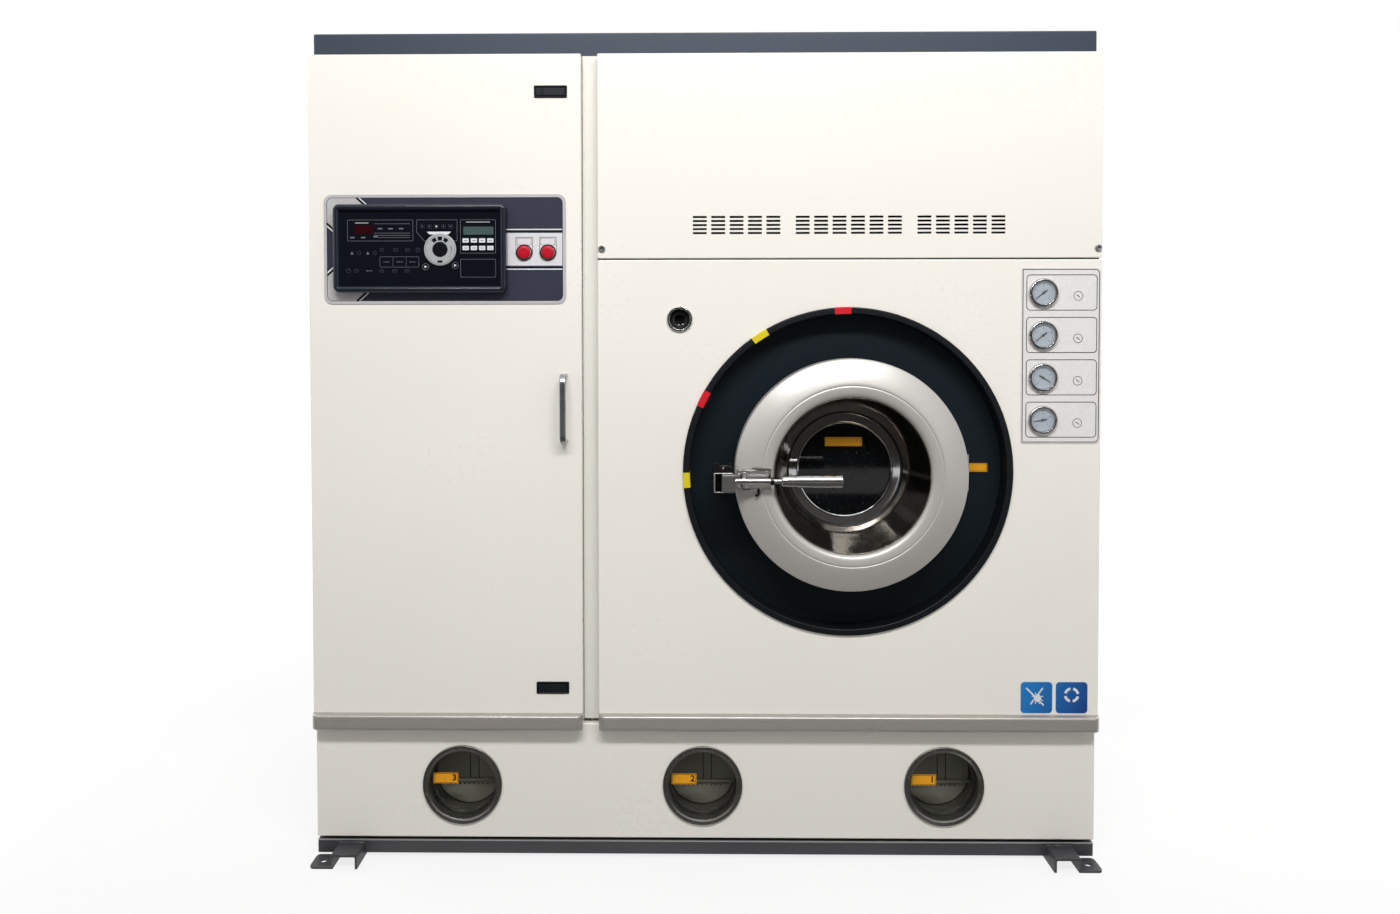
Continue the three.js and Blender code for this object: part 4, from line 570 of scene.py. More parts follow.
housing = {
    "left": -838, "right": -446, "bottom": 1312, "top": 1511, "corner": 14, "floor": -17.6,
    "hole": (-822.3, -461.7, 1327.7, 1495.3),
}
buttons = {"places": (-408, -354), "level": 1403, "hole": 11.5}


def gaugeHoles():
    return [circle(gauges["x"], level, gauges["hole"], 40) for level in gauges["levels"]]


def buttonHoles(gap=0.0):
    return [circle(x, buttons["level"], buttons["hole"] + gap, 32) for x in buttons["places"]]


sill = {"below": 7, "above": 30, "reach": 20, "corner": 16}


def sillBar(piece, left, right):  # the hollow nose along a panel's foot, rounded off in plan
    low, high = front["sill"] - sill["below"], front["sill"] + sill["above"]
    deep, corner = sill["reach"], sill["corner"]
    section = filleted([(1.5, low), (-deep, low, 11), (-deep, high, 8), (1.5, high)], 6)
    places = [0, 0.6, 2, 4.5, 8, 12, corner]
    stations = [left + p for p in places] + [right - p for p in reversed(places)]
    rings = []
    for x in stations:
        run = corner - min(corner, x - left, right - x)
        reach = corner - math.sqrt(max(0.0, corner ** 2 - run ** 2))
        share = (deep - reach) / deep
        rings.append([onFront(x, level, depth * share if depth < 0 else depth) for depth, level in section])
    piece.use(sillMetal).loft(rings)


def lowerPanel():
    holes = [circle(x, portholes["level"], portholes["hole"], 72) for x in portholes["places"]]
    left, right, top = cabinet["left"], cabinet["right"], front["sill"] - 0.3
    outline = roundRect(left, right, front["foot"], top, front["corner"])
    piece = Piece(enamel).tray(outline, holes, front["lowerFront"], front["back"])
    piece.ready("lowerPanel", "machine", "enamel", "lower_front_panel")


def ventPanel():
    left, right = front["panelLeft"], cabinet["right"]
    holes = []
    for start, columns in zip(vents["starts"], vents["columns"]):
        for i in range(columns * vents["rows"]):
            x = start + (i % columns) * vents["columnPitch"]
            level = vents["first"] + (i // columns) * vents["rowPitch"]
            half = vents["height"] / 2
            holes.append(roundRect(x, x + vents["length"], level - half, level + half, 0.8, 2))
    holes += [circle(x, coverScrew["level"], coverScrew["hole"], 20) for x in coverScrew["places"].values()]
    outline = roundRect(left, right, front["seam"] + 2, front["top"], front["corner"])
    piece = Piece(enamel).tray(outline, holes, 0, front["back"], 2.2)
    piece.use(mattBlack).block(-46, 700, 7, 9, 1459.5, 1500, 0.4)  # black sheet behind the upper rows of slots: painted shade for the dark inside
    piece.use(castIron).block(-46, 700, 7, 9, 1436, 1459, 0.4)  # a paler plate behind the lower rows
    # a black strip behind the seam: painted shade that keeps the seam line dark
    piece.use(mattBlack).block(left + 4, right - 4, 9.5, 11, front["seam"] - 12, front["seam"] + 12, 0.3)
    piece.ready("ventPanel", "machine", "enamel", "upper_vent_panel")


def loadingPanel():
    left, right = front["panelLeft"], cabinet["right"]
    holes = [circle(*drumCentre, 364, 160), circle(*sight["centre"], sight["hole"], 40)] + gaugeHoles()
    outline = roundRect(left, right, front["sill"], front["seam"] - 1.2, front["corner"])
    piece = Piece(enamel).tray(outline, holes, 0, front["back"], 2.2)
    sillBar(piece, left, right)
    piece.ready("loadingPanel", "machine", "enamel", "loading_panel")


def cabinetDoor():
    left, right, play = cabinet["left"], front["doorRight"], 2.7
    holes = [roundRect(latches["left"] + play, latches["right"] - play, level - 11.3, level + 11.3, 1, 2)
             for level in latches["levels"]]
    holes += buttonHoles() + [roundRect(*housing["hole"], 1, 2)]
    outline = roundRect(left, right, front["sill"], front["top"], front["corner"])
    piece = Piece(enamel).tray(outline, holes, 0, front["doorThickness"])
    sillBar(piece, left, right)
    for level in front["hinges"]:  # lugs that turn on the hinge rod
        for low in (level - 21.3, level + 18.3):
            lug = roundRect(left + 1, left + 18, 1, 28, 2, 3)
            piece.plate(lug, low, low + 3, 0.4, [circle(left + 10, 19, 4, 24)], onTop)
    made = piece.ready("cabinetDoorLeaf", "cabinet_door", "enamel", "cabinet_door")
    for level in front["hinges"]:
        carve(made, left - 2, left + 4, 2.2, 40, level - 18, level + 18)


def topCover():
    outline = roundRect(cabinet["left"], cabinet["right"], 42, cabinet["back"], 4)
    piece = Piece(slate).tray(outline, [], cabinet["height"], 1848, 4, 2, onTop)
    piece.ready("topCover", "machine", "slate", "top_cover")


def coverScrews():
    level = coverScrew["level"]
    for side, x in coverScrew["places"].items():
        profile = filleted([
            (0, -1.8), (3.4, -1.8), (4, -4.3, 0.3), (8, -4.3, 1.2), (8, -0.3), (4, -0.3), (4, 20), (0, 20)])
        piece = Piece(brushedSteel).turn(profile, (x, level), steps=48)
        # the slot is black ink on the head: painted shade for the cut
        slot = roundRect(x - 3.2, x + 3.2, level - 0.6, level + 0.6, 0.2, 1)
        piece.use(inkBlack).plate(slot, -2, -1.7, 0.05)
        piece.ready("coverScrew_" + side, "machine", "brushed_steel", "cover_screw_" + side)


sheetScrews = {
    "radius": 7, "rise": 1.6, "levels": (90, 520, 950, 1380, 1810),
    "sides": (70, 420, 770, 1120), "back": (-870, -435, 0, 435, 870),
}


def panHead(piece, spot, base, sign, axis, face):  # a screw head with a crossed slot
    radius, rise = sheetScrews["radius"], sheetScrews["rise"]
    head = [(0, base), (radius, base), (radius, base + 0.5), (radius - 2.2, base + rise), (0, base + rise)]
    piece.use(brushedSteel).turn([(r, place * sign) for r, place in head], spot, axis, 24)
    depths = sorted(((base + rise - 0.1) * sign, (base + rise + 0.15) * sign))
    # the crossed slot is black ink on the head: painted shade for the cut
    for u, v in ((4, 0.7), (0.7, 4)):
        cross = roundRect(spot[0] - u, spot[0] + u, spot[1] - v, spot[1] + v)
        piece.use(inkBlack).plate(cross, *depths, 0, (), face)


def screwsRound(name, places, *where):  # pan heads round the four edges of a sheet
    levels = sheetScrews["levels"]
    spots = [(place, z) for place in (places[0], places[-1]) for z in levels]
    spots += [(place, z) for place in places[1:-1] for z in (levels[0], levels[-1])]
    piece = Piece(brushedSteel)
    for spot in spots:
        panHead(piece, spot, *where)
    piece.ready("panelScrews_" + name, "machine", "brushed_steel")


lowerPanel()
ventPanel()
loadingPanel()
cabinetDoor()
topCover()
coverScrews()
screwsRound("left", sheetScrews["sides"], cabinet["right"], -1, "x", onSide)
screwsRound("right", sheetScrews["sides"], cabinet["right"], 1, "x", onSide)
screwsRound("back", sheetScrews["back"], cabinet["back"], 1, "y", onFront)
print("front panels made")


baseFrame = {
    "front": 20, "back": 1147, "bottom": 8, "top": 40, "wall": 5, "rails": (-900, -303.33, 298.33, 895),
    "channel": (790, 852), "reach": 60, "rise": 33, "tab": (849, 900), "boltHole": 876,
}


def feet():
    piece = Piece(frameSteel)
    bottom, top, wall = baseFrame["bottom"], baseFrame["top"], baseFrame["wall"]
    near, far, reach, rise = (baseFrame[k] for k in ("front", "back", "reach", "rise"))
    left, right = cabinet["left"], cabinet["right"]
    piece.block(left, right, near, near + wall, bottom, top, 2.2)
    piece.block(left, right, far - wall, far, bottom, top, 1.4)
    for x in baseFrame["rails"]:
        piece.block(x, x + wall, near + 2, far - 2, bottom, top, 1.2)
    piece.block(left + 1, right - 1, near + 1, far - 1, top - 4, top - 0.2, 0.8)
    # a pale strip along the top front edge: painted highlight
    piece.use(frameEdgeHighlight).block(left + 0.4, right - 0.4, near - 0.5, near + 3, top - 2.6, top + 0.2, 0.9)
    piece.use(frameSteel)
    for side in (-1, 1):
        low, high = sorted(x * side for x in baseFrame["channel"])
        channel = filleted([
            (low, 0, 1), (low + 6, 0, 1), (low + 6, rise - 6, 3), (high - 6, rise - 6, 3), (high - 6, 0, 1),
            (high, 0, 1), (high, rise, 6), (low, rise, 6)], 4)
        for middle in (near, far):
            piece.plate(channel, middle - reach, middle + reach, 0.8)
        for start, end in ((near - reach, near - 2), (far + 2, far + reach)):  # tabs with a bolt hole
            radii = (10, 3, 3, 10) if side < 0 else (3, 10, 10, 3)
            tab = roundRect(*sorted(x * side for x in baseFrame["tab"]), start, end, radii, 6)
            hole = circle(baseFrame["boltHole"] * side, (start + end) / 2, 8, 32)
            piece.plate(tab, 0, 6, 0.8, [hole], onTop)
        for depth in (near - 0.5, far + 0.5):  # weld beads where the channels meet the frame
            beads = []
            for i in range(31):
                x = low + 2 + (high - low - 4) * i / 30
                size = 1.6 + 0.5 * math.sin(i * 2.4) * math.cos(i * 0.7)
                beads.append([onFront(x, rise + v, depth + w) for v, w in circle(0, 0, size, 8)])
            piece.loft(beads)
    piece.ready("baseFrameWeldment", "machine", "frame_steel", "base_frame")


feet()


trap = {"radius": 81, "floor": 93.5, "back": 98, "ribs": (56, 66, 76, 86), "rivets": 9, "rivetPitch": 11}
ringScrews = {"count": 12, "radius": 85.5, "first": 15}


def portholeParts():
    level = portholes["level"]
    for i, x in enumerate(portholes["places"]):
        profile = filleted([
            (79, 10.7, 2.2), (84, 12.6, 1), (87, 12.6, 1), (92, 10.7, 2.2), (92, 16.7), (84.7, 16.7),
            (84.7, 46.7), (74, 46.7), (74, 41.7, 0.6), (79, 41.7)], 5)
        ring = Piece(portholeSteel).turn(profile, (x, level), steps=96)
        head = filleted([(0, 11.6), (1.6, 11.7, 0.4), (1.8, 13), (0, 13)], 2)
        for k in range(ringScrews["count"]):  # the heads lie level with the rim's groove
            angle = ringScrews["first"] + 360 // ringScrews["count"] * k
            ring.use(brushedSteel).turn(head, around((x, level), ringScrews["radius"], angle), steps=12)
        ring.ready(f"portholeRim_{i + 1}", "machine", "polished_steel", f"porthole_ring_{i + 1}")
        ribs = []
        wide, tight, back = trap["radius"], trap["radius"] - 2.5, trap["back"]
        for z in trap["ribs"]:
            ribs += [(wide, z, 0.6), (tight, z + 1, 0.6), (tight, z + 3, 0.6), (wide, z + 4, 0.6)]
        shell = [(wide, back - 2), (0, back - 2), (0, back), (wide + 3, back)]
        wall = filleted([(wide + 3, 51.4), (wide, 51.4)] + ribs + shell, 2)
        well = Piece(wellSteel).turn(wall, (x, level), steps=72)  # the trap that stands behind the glass
        well.use(strainerSteel).plate(circle(x, level, 77, 60), trap["floor"], trap["floor"] + 2.4, 0.6)
        well.block(x - 78, x + 78, 86, 95, level - 22, level - 18, 0.6)
        well.use(inkBlack).block(x - 21, x + 21, 57, 66, level + 61, level + 79, 2)  # a black block at the top of the well: painted shade for the shadow under the rim
        for shift in (2, 22):
            well.block(x + shift, x + shift + 1.8, 93, 93.7, level - 18, level + 74, 0)
        rivet = rod(0, 1.8, 93.1, 93.6)
        for k in range(trap["rivets"]):
            well.turn(rivet, (x - 44 + trap["rivetPitch"] * k, level - 32), steps=10)
        well.ready(f"portholeTrap_{i + 1}", "machine", "brushed_steel")
        pane = filleted([(0, 33.4), (78.7, 33.4, 0.8), (78.7, 41.4, 0.8), (0, 41.4)], 3)
        glass = Piece(sightPane).turn(pane, (x, level), steps=96)
        glass.use(labelOrange).plate(roundRect(x - 72, x - 14, level - 5, level + 20, 1, 3), 33.0, 33.3, 0.05)
        face = 33.0
        glass.use(inkBlack).inkNumber(portholes["numbers"][i], 20, x - 23, level + 8, face, 0.6)
        glass.inkFrame(roundRect(x - 70.5, x - 15.5, level - 3.5, level + 18.5), 0.9, face)
        glass.ready(f"portholeGlass_{i + 1}", "machine", "dark_glass", f"porthole_glass_{i + 1}")


portholeParts()
print("base frame and portholes made")


openingTrim = {
    "inner": 360, "outer": 375, "front": -6.5,
    "tabs": ((91.9, 5.8, tabRed), (122.8, 6.0, tabYellow), (153.1, 6.0, tabRed), (182.9, 5.4, tabYellow)),
}


def trimParts():
    inner, outer, reach = openingTrim["inner"], openingTrim["outer"], openingTrim["front"]
    profile = filleted([
        (inner, reach, 3), (outer, reach, 3), (outer, -0.3), (363.7, -0.3), (363.7, 45.7), (inner, 45.7)], 6)
    piece = Piece(rubber).turn(profile, drumCentre, steps=200)
    under, over = reach - 0.05, reach - 0.4
    tab = filleted([
        (inner - 1.2, 26), (inner - 1.2, over, 2.6), (outer + 0.6, over, 2.6), (outer + 0.6, -0.3),
        (outer + 0.1, -0.3), (outer + 0.1, under, 2.4), (inner - 0.6, under, 2.4), (inner - 0.6, 26)], 5)
    for angle, width, finish in openingTrim["tabs"]:  # degrees from the right, and their width
        piece.use(finish).turn(tab, drumCentre, steps=8, start=angle - width / 2, sweep=width)
    piece.ready("openingTrim", "machine", "rubber", "opening_trim")


trimParts()


doorRing = {"outer": 260, "edge": (258, -61), "crown": (203, -82), "back": -20}
hinge = {"pin": (590, 0), "sleeve": (861, 945)}


def loadingDoor():
    (wide, low), (narrow, high) = doorRing["edge"], doorRing["crown"]
    back, outer = doorRing["back"], doorRing["outer"]
    profile = [(wide, back), (outer, back - 3), (outer, -56)]
    profile += arcPoints(outer - 5, -56.6, 5, 0, -70, 5)
    for i in range(1, 13):
        share = i / 12
        rise = 0.6 * share + 0.4 * math.sin(share * math.pi / 2)
        profile.append((wide - (wide - narrow) * share, low + (high - low) * rise))
    profile += [
        (201.5, -81.4), (200.4, -80.2), (199.2, -81.6), (197, -82.2), (192, -82), (186, -81.2), (181, -79.6),
        (177.6, -77), (175.2, -73.5), (174.6, -72), (156.9, back)]
    piece = Piece(silverPaint).turn(profile, drumCentre, steps=180)
    made = piece.ready("doorRing", "loading_door", "ring_silver", "door_ring")
    carve(made, 71.5, 146.5, -90, -66, 875.5, 918.5)

    arm = Piece(silverPaint)
    low, high = hinge["sleeve"]
    sleeve = filleted([(8, low, 0.6), (12, low, 1), (12, high, 1), (8, high, 0.6)], 3)
    arm.turn(sleeve, hinge["pin"], "z", 48)
    arm.plate(roundRect(556, 581, low + 1, high - 1, 3, 4), -21, -6, 1.5)
    arm.ready("doorHingeArm", "loading_door", "ring_silver")

    lip = filleted([
        (172, -73, 1.2), (134, 40, 4), (134, 58), (110, 58), (110, 60), (136, 60, 2), (136, 40, 4),
        (156.2, -17.7), (200, -17.7), (200, -19.7), (154.9, -19.7), (174, -73, 1.2)], 5)
    pan = Piece(panSteel).turn(lip, drumCentre, steps=180)
    pan.ready("doorPan", "loading_door", "polished_steel", "door_pan")

    pane = filleted([(0, 50.3), (131, 50.3, 0.8), (131, 57.7, 0.8), (0, 57.7)], 3)
    glass = Piece(doorPane).turn(pane, drumCentre, steps=120)
    bed = filleted([(131.1, 57.7), (131.1, 47.5), (133.8, 45.5, 0.8), (133.8, 57.7)], 3)
    glass.use(rubber).turn(bed, drumCentre, steps=120)
    glass.use(labelOrange).plate(roundRect(282, 368, 956, 977, 1, 3), 49.9, 50.2, 0.05)
    glass.use(inkBlack).inkFrame(roundRect(284, 366, 958, 975), 0.6, 49.9)
    glass.ready("doorGlass", "loading_door", "dark_glass", "door_glass")

    bead = filleted([
        (107, 50, 0.4), (107, 43.4, 1), (109.4, 42.4, 0.8), (111.4, 44.4, 0.8), (129, 45.6, 0.6),
        (131, 47.4, 0.4), (131, 50)], 4)
    retainer = Piece(retainerSteel).turn(bead, drumCentre, steps=180)
    retainer.ready("glassRetainer", "loading_door", "polished_steel", "glass_retainer")

    lipSeal = filleted([(203, -19.7), (217, -19.7), (217, -14, 2.5), (210, -12.4, 3), (203, -14, 2.5)], 5)
    gasket = Piece(rubber).turn(lipSeal, drumCentre, steps=160)
    gasket.ready("doorGasket", "loading_door", "rubber", "door_gasket")


loadingDoor()


latch = {
    "level": 897, "lever": -106, "pivot": (86, -95), "screws": (104, 138),
    "grooves": (196, 232, 256, 280),  # round the grip, counted along the machine's width
}


def latchParts():
    level = latch["level"]
    plate = Piece(plateMetal)
    plate.plate(roundRect(72, 146, level - 21, level + 21, 3, 4), -78, -66.3, 1)
    for low in (level + 12, level - 16):
        outline = filleted([(80, -101, 5), (92, -101, 5), (92, -77), (80, -77)], 5)
        plate.plate(outline, low, low + 4, 0.5, (), onTop)
    plate.turn(rod(0, 4, level - 17.6, level + 17.6, 0.6), latch["pivot"], "z", 32)
    screw = filleted([(0, -79.2), (3.4, -79.2, 1), (3.6, -78), (0, -78)], 3)
    for z in (level - 15, level + 15):
        for x in latch["screws"]:
            plate.turn(screw, (x, z), steps=20)
    plate.use(mattBlack)  # the safety hook's tip under the plate
    hook = ((116, 20), (121, 20), (121, 30), (118, 36), (112, 38), (111, 34), (116, 31))
    plate.plate([(x, level - below) for x, below in hook], -88, -80, 0.6)
    plate.ready("latchPlate", "loading_door", "polished_steel", "latch_pivot")

    grip = [(0, 65), (6, 65), (6, 143), (5, 151.4), (5, 166), (9.8, 167.2), (11.8, 169)]
    for groove in latch["grooves"]:
        reach = 11.8 + 3.4 * min(1.0, (groove - 168) / 54)
        grip += [(reach - 0.1, groove - 1.8), (reach - 1.4, groove - 1.2)]
        grip += [(reach - 1.4, groove + 1.2), (reach, groove + 1.8)]
    grip += [(15.2, 296.6), (14.8, 298.4), (13, 300), (0, 300)]
    lever = Piece(leverMetal).turn(grip, (latch["lever"], level), "x", 48)
    collar = filleted([(4.8, 142.6), (8.6, 142.6, 0.8), (8.6, 151, 0.8), (4.8, 151)], 3)
    lever.use(collarSteel).turn(collar, (latch["lever"], level), "x", 40)
    nose = filleted([(37, level - 24, 3), (67, level - 24, 3), (67, level + 14, 3), (37, level + 14, 3)], 4)
    lever.use(noseMetal).plate(nose, -112, -92, 1.6)
    lever.use(leverMetal)
    low, high = level - 11.7, level + 11.7
    hub = filleted([(4.5, low, 0.4), (7, low, 0.8), (7, high, 0.8), (4.5, high, 0.4)])
    lever.turn(hub, latch["pivot"], "z", 40)
    lever.turn(rod(0, 3.5, level + 6, level + 12, 0.6), (52, -102), "z", 20)
    lever.ready("latchLever", "latch_lever", "aluminium", "latch_lever")


strikeBox = {"left": 20, "right": 62, "front": -100, "back": -46, "below": 27, "above": 17, "sheet": 2.4}


def strikeParts():
    level = latch["level"]
    left, right, near, far = (strikeBox[k] for k in ("left", "right", "front", "back"))
    low, high, sheet = level - strikeBox["below"], level + strikeBox["above"], strikeBox["sheet"]
    strike = Piece(plateMetal)
    strike.block(left, left + 3, near, far, low, high, 1)
    strike.block(left, right, near, far, high - sheet, high, 0.9)
    strike.block(left, right, near, far, low, low + sheet, 0.9)
    # the guard over the strike, in darker steel as painted shade for its top, and its screw
    low, high = level + 17.4, level + 33
    guard = filleted([(24, low), (60, low), (60, level + 29, 4), (50, high, 4), (32, high, 5)], 4)
    strike.use(collarSteel).plate(guard, -98, -50, 1)
    screw = filleted([(0, -99.6), (2.4, -99.6, 0.8), (2.6, -98), (0, -98)], 3)
    strike.use(plateMetal).turn(screw, (40, level + 27), steps=20)
    # a black plate at the back of the strike: painted shade for the dark inside of its opening
    strike.use(mattBlack).block(left + 0.5, right - 0.5, far - 4, far - 0.2, level - 32, level + 32, 0.8)
    strike.block(left + 4, right - 4, far - 2, 45.7, level - 20, level + 20, 2)
    strike.ready("strike", "machine", "brushed_steel", "strike_bracket")


latchParts()
strikeParts()
print("loading door and latch made")


def sightPort():
    profile = filleted([
        (13, 12, 0.8), (23, 12), (23, -4, 1), (24.5, -5.5, 1), (28, -5.5, 1.4), (29.5, -3.5, 0.8),
        (29.5, -0.3), (26, -0.3), (26, 30), (13, 30)], 4)
    piece = Piece(gaugeChrome).turn(profile, sight["centre"], steps=80)
    # a black disc that closes the bore: painted shade for the dark inside
    piece.use(inkBlack).turn(rod(0, 13.2, 24, 26), sight["centre"], steps=40)
    cup = filleted([(13.5, 11.6), (22.8, 11.6), (22.8, 3), (21.8, 3), (20.5, 9, 2), (13.5, 10.4)], 4)
    piece.use(mattBlack).turn(cup, sight["centre"], steps=60)
    piece.ready("sightPort", "machine", "polished_steel", "sight_port")


sightPort()


def gaugePlate():
    face = -1.8
    outline = roundRect(718, 897, 968, 1366, (0, 12, 12, 0), 6)
    plate = Piece(plateWhite).plate(outline, face, -0.3, 0.3, gaugeHoles())
    plate.use(inkPlate).inkFrame(roundRect(720.5, 894.5, 970.5, 1363.5, (0, 10, 10, 0), 6), 1.9, face)
    for level in gauges["levels"]:
        plate.inkFrame(roundRect(729, 889, level - 40, level + 41.5, 9, 6), 1.8, face)
        plate.inkFrame(circle(846, level - 7, 10.6, 40), 1.3, face)
        plate.inkLine((842, level - 4), (850, level - 10), 1.8, face)
    plate.ready("gaugePlate", "machine", "gauge_print", "gauge_plate")


dial = {"face": -4.4, "start": 225, "sweep": 270, "marks": 40, "markReach": 22.6, "numberReach": 16}


def gaugeCases():
    for i, (level, direction) in enumerate(zip(gauges["levels"], gauges["needles"])):
        centre = (gauges["x"], level)
        case = Piece(gaugeChrome)
        profile = filleted([
            (0, 30), (27.5, 30, 1), (27.5, -2.1), (33, -2.1, 0.5), (33, -8.4, 2.2), (30.4, -11.1, 1.6),
            (27.2, -11.1, 0.8), (25.6, -8.6, 0.5), (25.5, -4.1), (0, -4.1)], 5)
        case.turn(profile, centre, steps=72)
        case.use(dialWhite).turn(rod(0, 25.3, dial["face"], -4.15), centre, steps=64)
        case.use(inkBlack)
        for k in range(dial["marks"] + 1):
            angle = dial["start"] - dial["sweep"] * k / dial["marks"]
            reach = dial["markReach"]
            long = 3.4 if k % 10 == 0 else 2.4 if k % 5 == 0 else 1.5
            width = 0.7 if k % 10 else 1.1
            start, end = around(centre, reach - long, angle), around(centre, reach, angle)
            case.inkLine(start, end, width, dial["face"], 0.08)
        for k in range(5):
            spot = around(centre, dial["numberReach"], dial["start"] - dial["sweep"] * k / 4)
            case.inkNumber(str(k), 4.6, *spot, dial["face"])
        case.use(lens).turn([(0, -10.4), (26, -9.6), (26, -8.8), (0, -9.5)], centre, steps=64)
        case.ready(f"gaugeCase_{i + 1}", "machine", "brushed_steel", f"gauge_case_{i + 1}")

        turn = math.radians(90 - direction)
        along = Vector((math.cos(turn), math.sin(turn)))
        side = Vector((-along.y, along.x))
        pointer = []
        for a, b in ((-10, -1.9), (-2, -1.6), (21, -0.8), (21, 0.8), (-2, 1.6), (-10, 1.9)):
            pointer.append((centre[0] + along.x * a + side.x * b, centre[1] + along.y * a + side.y * b))
        needle = Piece(inkBlack).plate(pointer, -5.6, -4.8, 0.12)
        hub = filleted([(0, -6.8), (2.2, -6.8, 0.5), (3, -6, 0.4), (3, -4.5), (0, -4.5)], 3)
        needle.turn(hub, centre, steps=28)
        node = f"gauge_needle_{i + 1}"
        needle.ready(f"gaugeNeedle_{i + 1}", node, "black_plastic", node)


gaugePlate()
gaugeCases()
print("gauges made")


prints = {
    "lamps": (-636, -620, -604, -588, -572), "keyRows": (1429, 1412), "keyStart": -545, "keyPitch": 18.6,
    "bars": ((-732, 1456), (-708, 1456), (-684, 1456), (-795, 1436), (-770, 1436), (-742, 1438)),
    "lines": ((1467, -745), (1446, -745), (1441, -745), (1436, -738)),
    "signs": (  # plain little signs in place of the small print: level, then places and kinds
        (1408, ((-728, "ring"), (-697, "field"), (-670, "field"), (-646, "clock"))),
        (1401, ((-796, "arrow"), (-780, "ring"), (-760, "arrow"), (-744, "ring"))),
        (1381, ((-718, "dashes"), (-688, "dashes"), (-659, "dashes"))),
        (1361, ((-804, "clock"), (-786, "field"), (-757, "dashes"), (-729, "field"), (-699, "field"),
                (-671, "field"))),
    ),
}


def sign(piece, kind, x, level, depth):
    piece.use(inkGrey if kind in ("arrow", "dashes") else inkDim)
    if kind == "field":
        piece.inkFrame(roundRect(x - 5, x + 5, level - 3.4, level + 3.4, 1, 2), 0.6, depth)
        piece.inkLine((x - 2.6, level), (x + 2.6, level), 0.9, depth)
    elif kind == "ring":
        piece.inkFrame(circle(x, level, 4, 20), 0.7, depth)
    elif kind == "arrow":
        piece.ink([(x - 3.4, level - 3), (x + 3.4, level - 3), (x, level + 3.6)], depth)
    elif kind == "clock":
        piece.inkFrame(circle(x, level, 5, 24), 0.7, depth)
        piece.inkLine((x, level), (x, level + 3.4), 0.7, depth)
    else:
        for step in (-5, 0, 5):
            piece.inkLine((x + step - 1.6, level), (x + step + 1.6, level), 1.6, depth)


def consoleFace(piece):  # what is printed on the recessed face
    floor = housing["floor"]
    piece.use(faceFilm).ink(roundRect(-823, -461, 1327, 1496, 5, 4), floor, (), 0.25)
    depth = floor - 0.25
    piece.use(inkGrey).inkFrame(roundRect(-806, -657, 1428, 1476, 2, 2), 0.7, depth)
    piece.inkFrame([(-649, 1476), (-557, 1476), (-557, 1428), (-632, 1428), (-649, 1448)], 0.7, depth)
    for bottom, top in ((1400, 1476), (1346, 1387)):
        piece.inkFrame(roundRect(-550, -470, bottom, top, 2, 2), 0.7, depth)
    piece.inkFrame(roundRect(-733, -644, 1369, 1393, 3, 3), 0.6, depth)
    for x in (-703, -673):
        piece.inkLine((x, 1371), (x, 1391), 0.5, depth)
    for level, left in prints["lines"]:
        piece.inkLine((left, level), (-664, level), 0.8, depth)
    for x, z in prints["bars"]:
        piece.ink(roundRect(x - 5, x + 5, z - 1.4, z + 1.4, 0.5, 2), depth)
    piece.use(inkWhite).inkLine((-788, 1469), (-758, 1469), 1.1, depth)
    piece.inkLine((-537, 1470.5), (-483, 1470.5), 1.1, depth)
    for k, x in enumerate(prints["lamps"]):  # small lamps over the dial, the middle one lit
        piece.use(inkWhite if k == 2 else inkGrey).ink(circle(x, 1461, 2.0 if k == 2 else 1.5, 12), depth)
        piece.use(inkDim).inkFrame(roundRect(x - 5, x + 5, 1456, 1466, 1.5, 2), 0.4, depth)
    piece.use(inkWhite).ink([(-626, 1449), (-571, 1449), (-577, 1443), (-620, 1443)], depth)
    piece.use(displayRed).plate(roundRect(-790, -748, 1444, 1464, 1, 2), depth - 0.3, depth, 0.1)
    piece.use(displayGreen).plate(roundRect(-543, -475, 1442, 1460, 1, 2), depth - 0.3, depth, 0.1)
    keys = [(prints["keyStart"] + prints["keyPitch"] * k, row) for row in prints["keyRows"] for k in range(4)]
    piece.use(keyWhite)
    for x, row in keys:
        piece.plate(roundRect(x, x + 14.2, row - 4.8, row + 4.8, 1, 3), depth - 0.6, depth, 0.2)
    piece.use(inkDim)
    for x, row in keys:
        piece.inkLine((x + 3.5, row), (x + 10.7, row), 1.2, depth - 0.6)
    for level, marks in prints["signs"]:
        for x, kind in marks:
            sign(piece, kind, x, level, depth)


knob = {"centre": (-596, 1409), "radius": 37, "rise": 1.6, "hub": 16, "hubRise": 1.4, "dots": 7}


def consoleDial(piece):
    centre, wide, narrow = knob["centre"], knob["radius"], knob["hub"]
    floor = housing["floor"] - 0.25
    top = floor - knob["rise"]
    crest = top - knob["hubRise"]
    profile = filleted([(0, top), (wide - 2, top, 1.4), (wide, floor, 0.4), (0, floor)], 4)
    piece.use(dialSilver).turn(profile, centre, steps=96)
    hub = filleted([(0, crest), (narrow - 1.4, crest, 1.2), (narrow, top), (0, top)], 4)
    piece.use(inkBlack).turn(hub, centre, steps=64)
    marks = [(20, 29, start, 22) for start in (111, 79, 47)] + [(25, 30, 258, 24)]
    for inner, outer, start, sweep in marks:
        piece.turn(rod(inner, outer, top - 0.15, top), centre, steps=8, start=start, sweep=sweep)
    piece.use(inkDim).inkFrame(circle(*centre, 33, 60), 0.5, top)
    for k in range(knob["dots"]):  # they grow along the scale
        piece.ink(circle(*around(centre, 26, -48 + 10 * k), 0.9 + 0.12 * k, 10), top)
    for x, z in ((-629, 1370), (-562, 1373)):
        piece.use(inkGrey).inkFrame(circle(x, z, 7.5, 28), 0.8, floor)
        piece.use(inkWhite).ink([(x - 2.5, z - 3), (x + 3.5, z), (x - 2.5, z + 3)], floor)


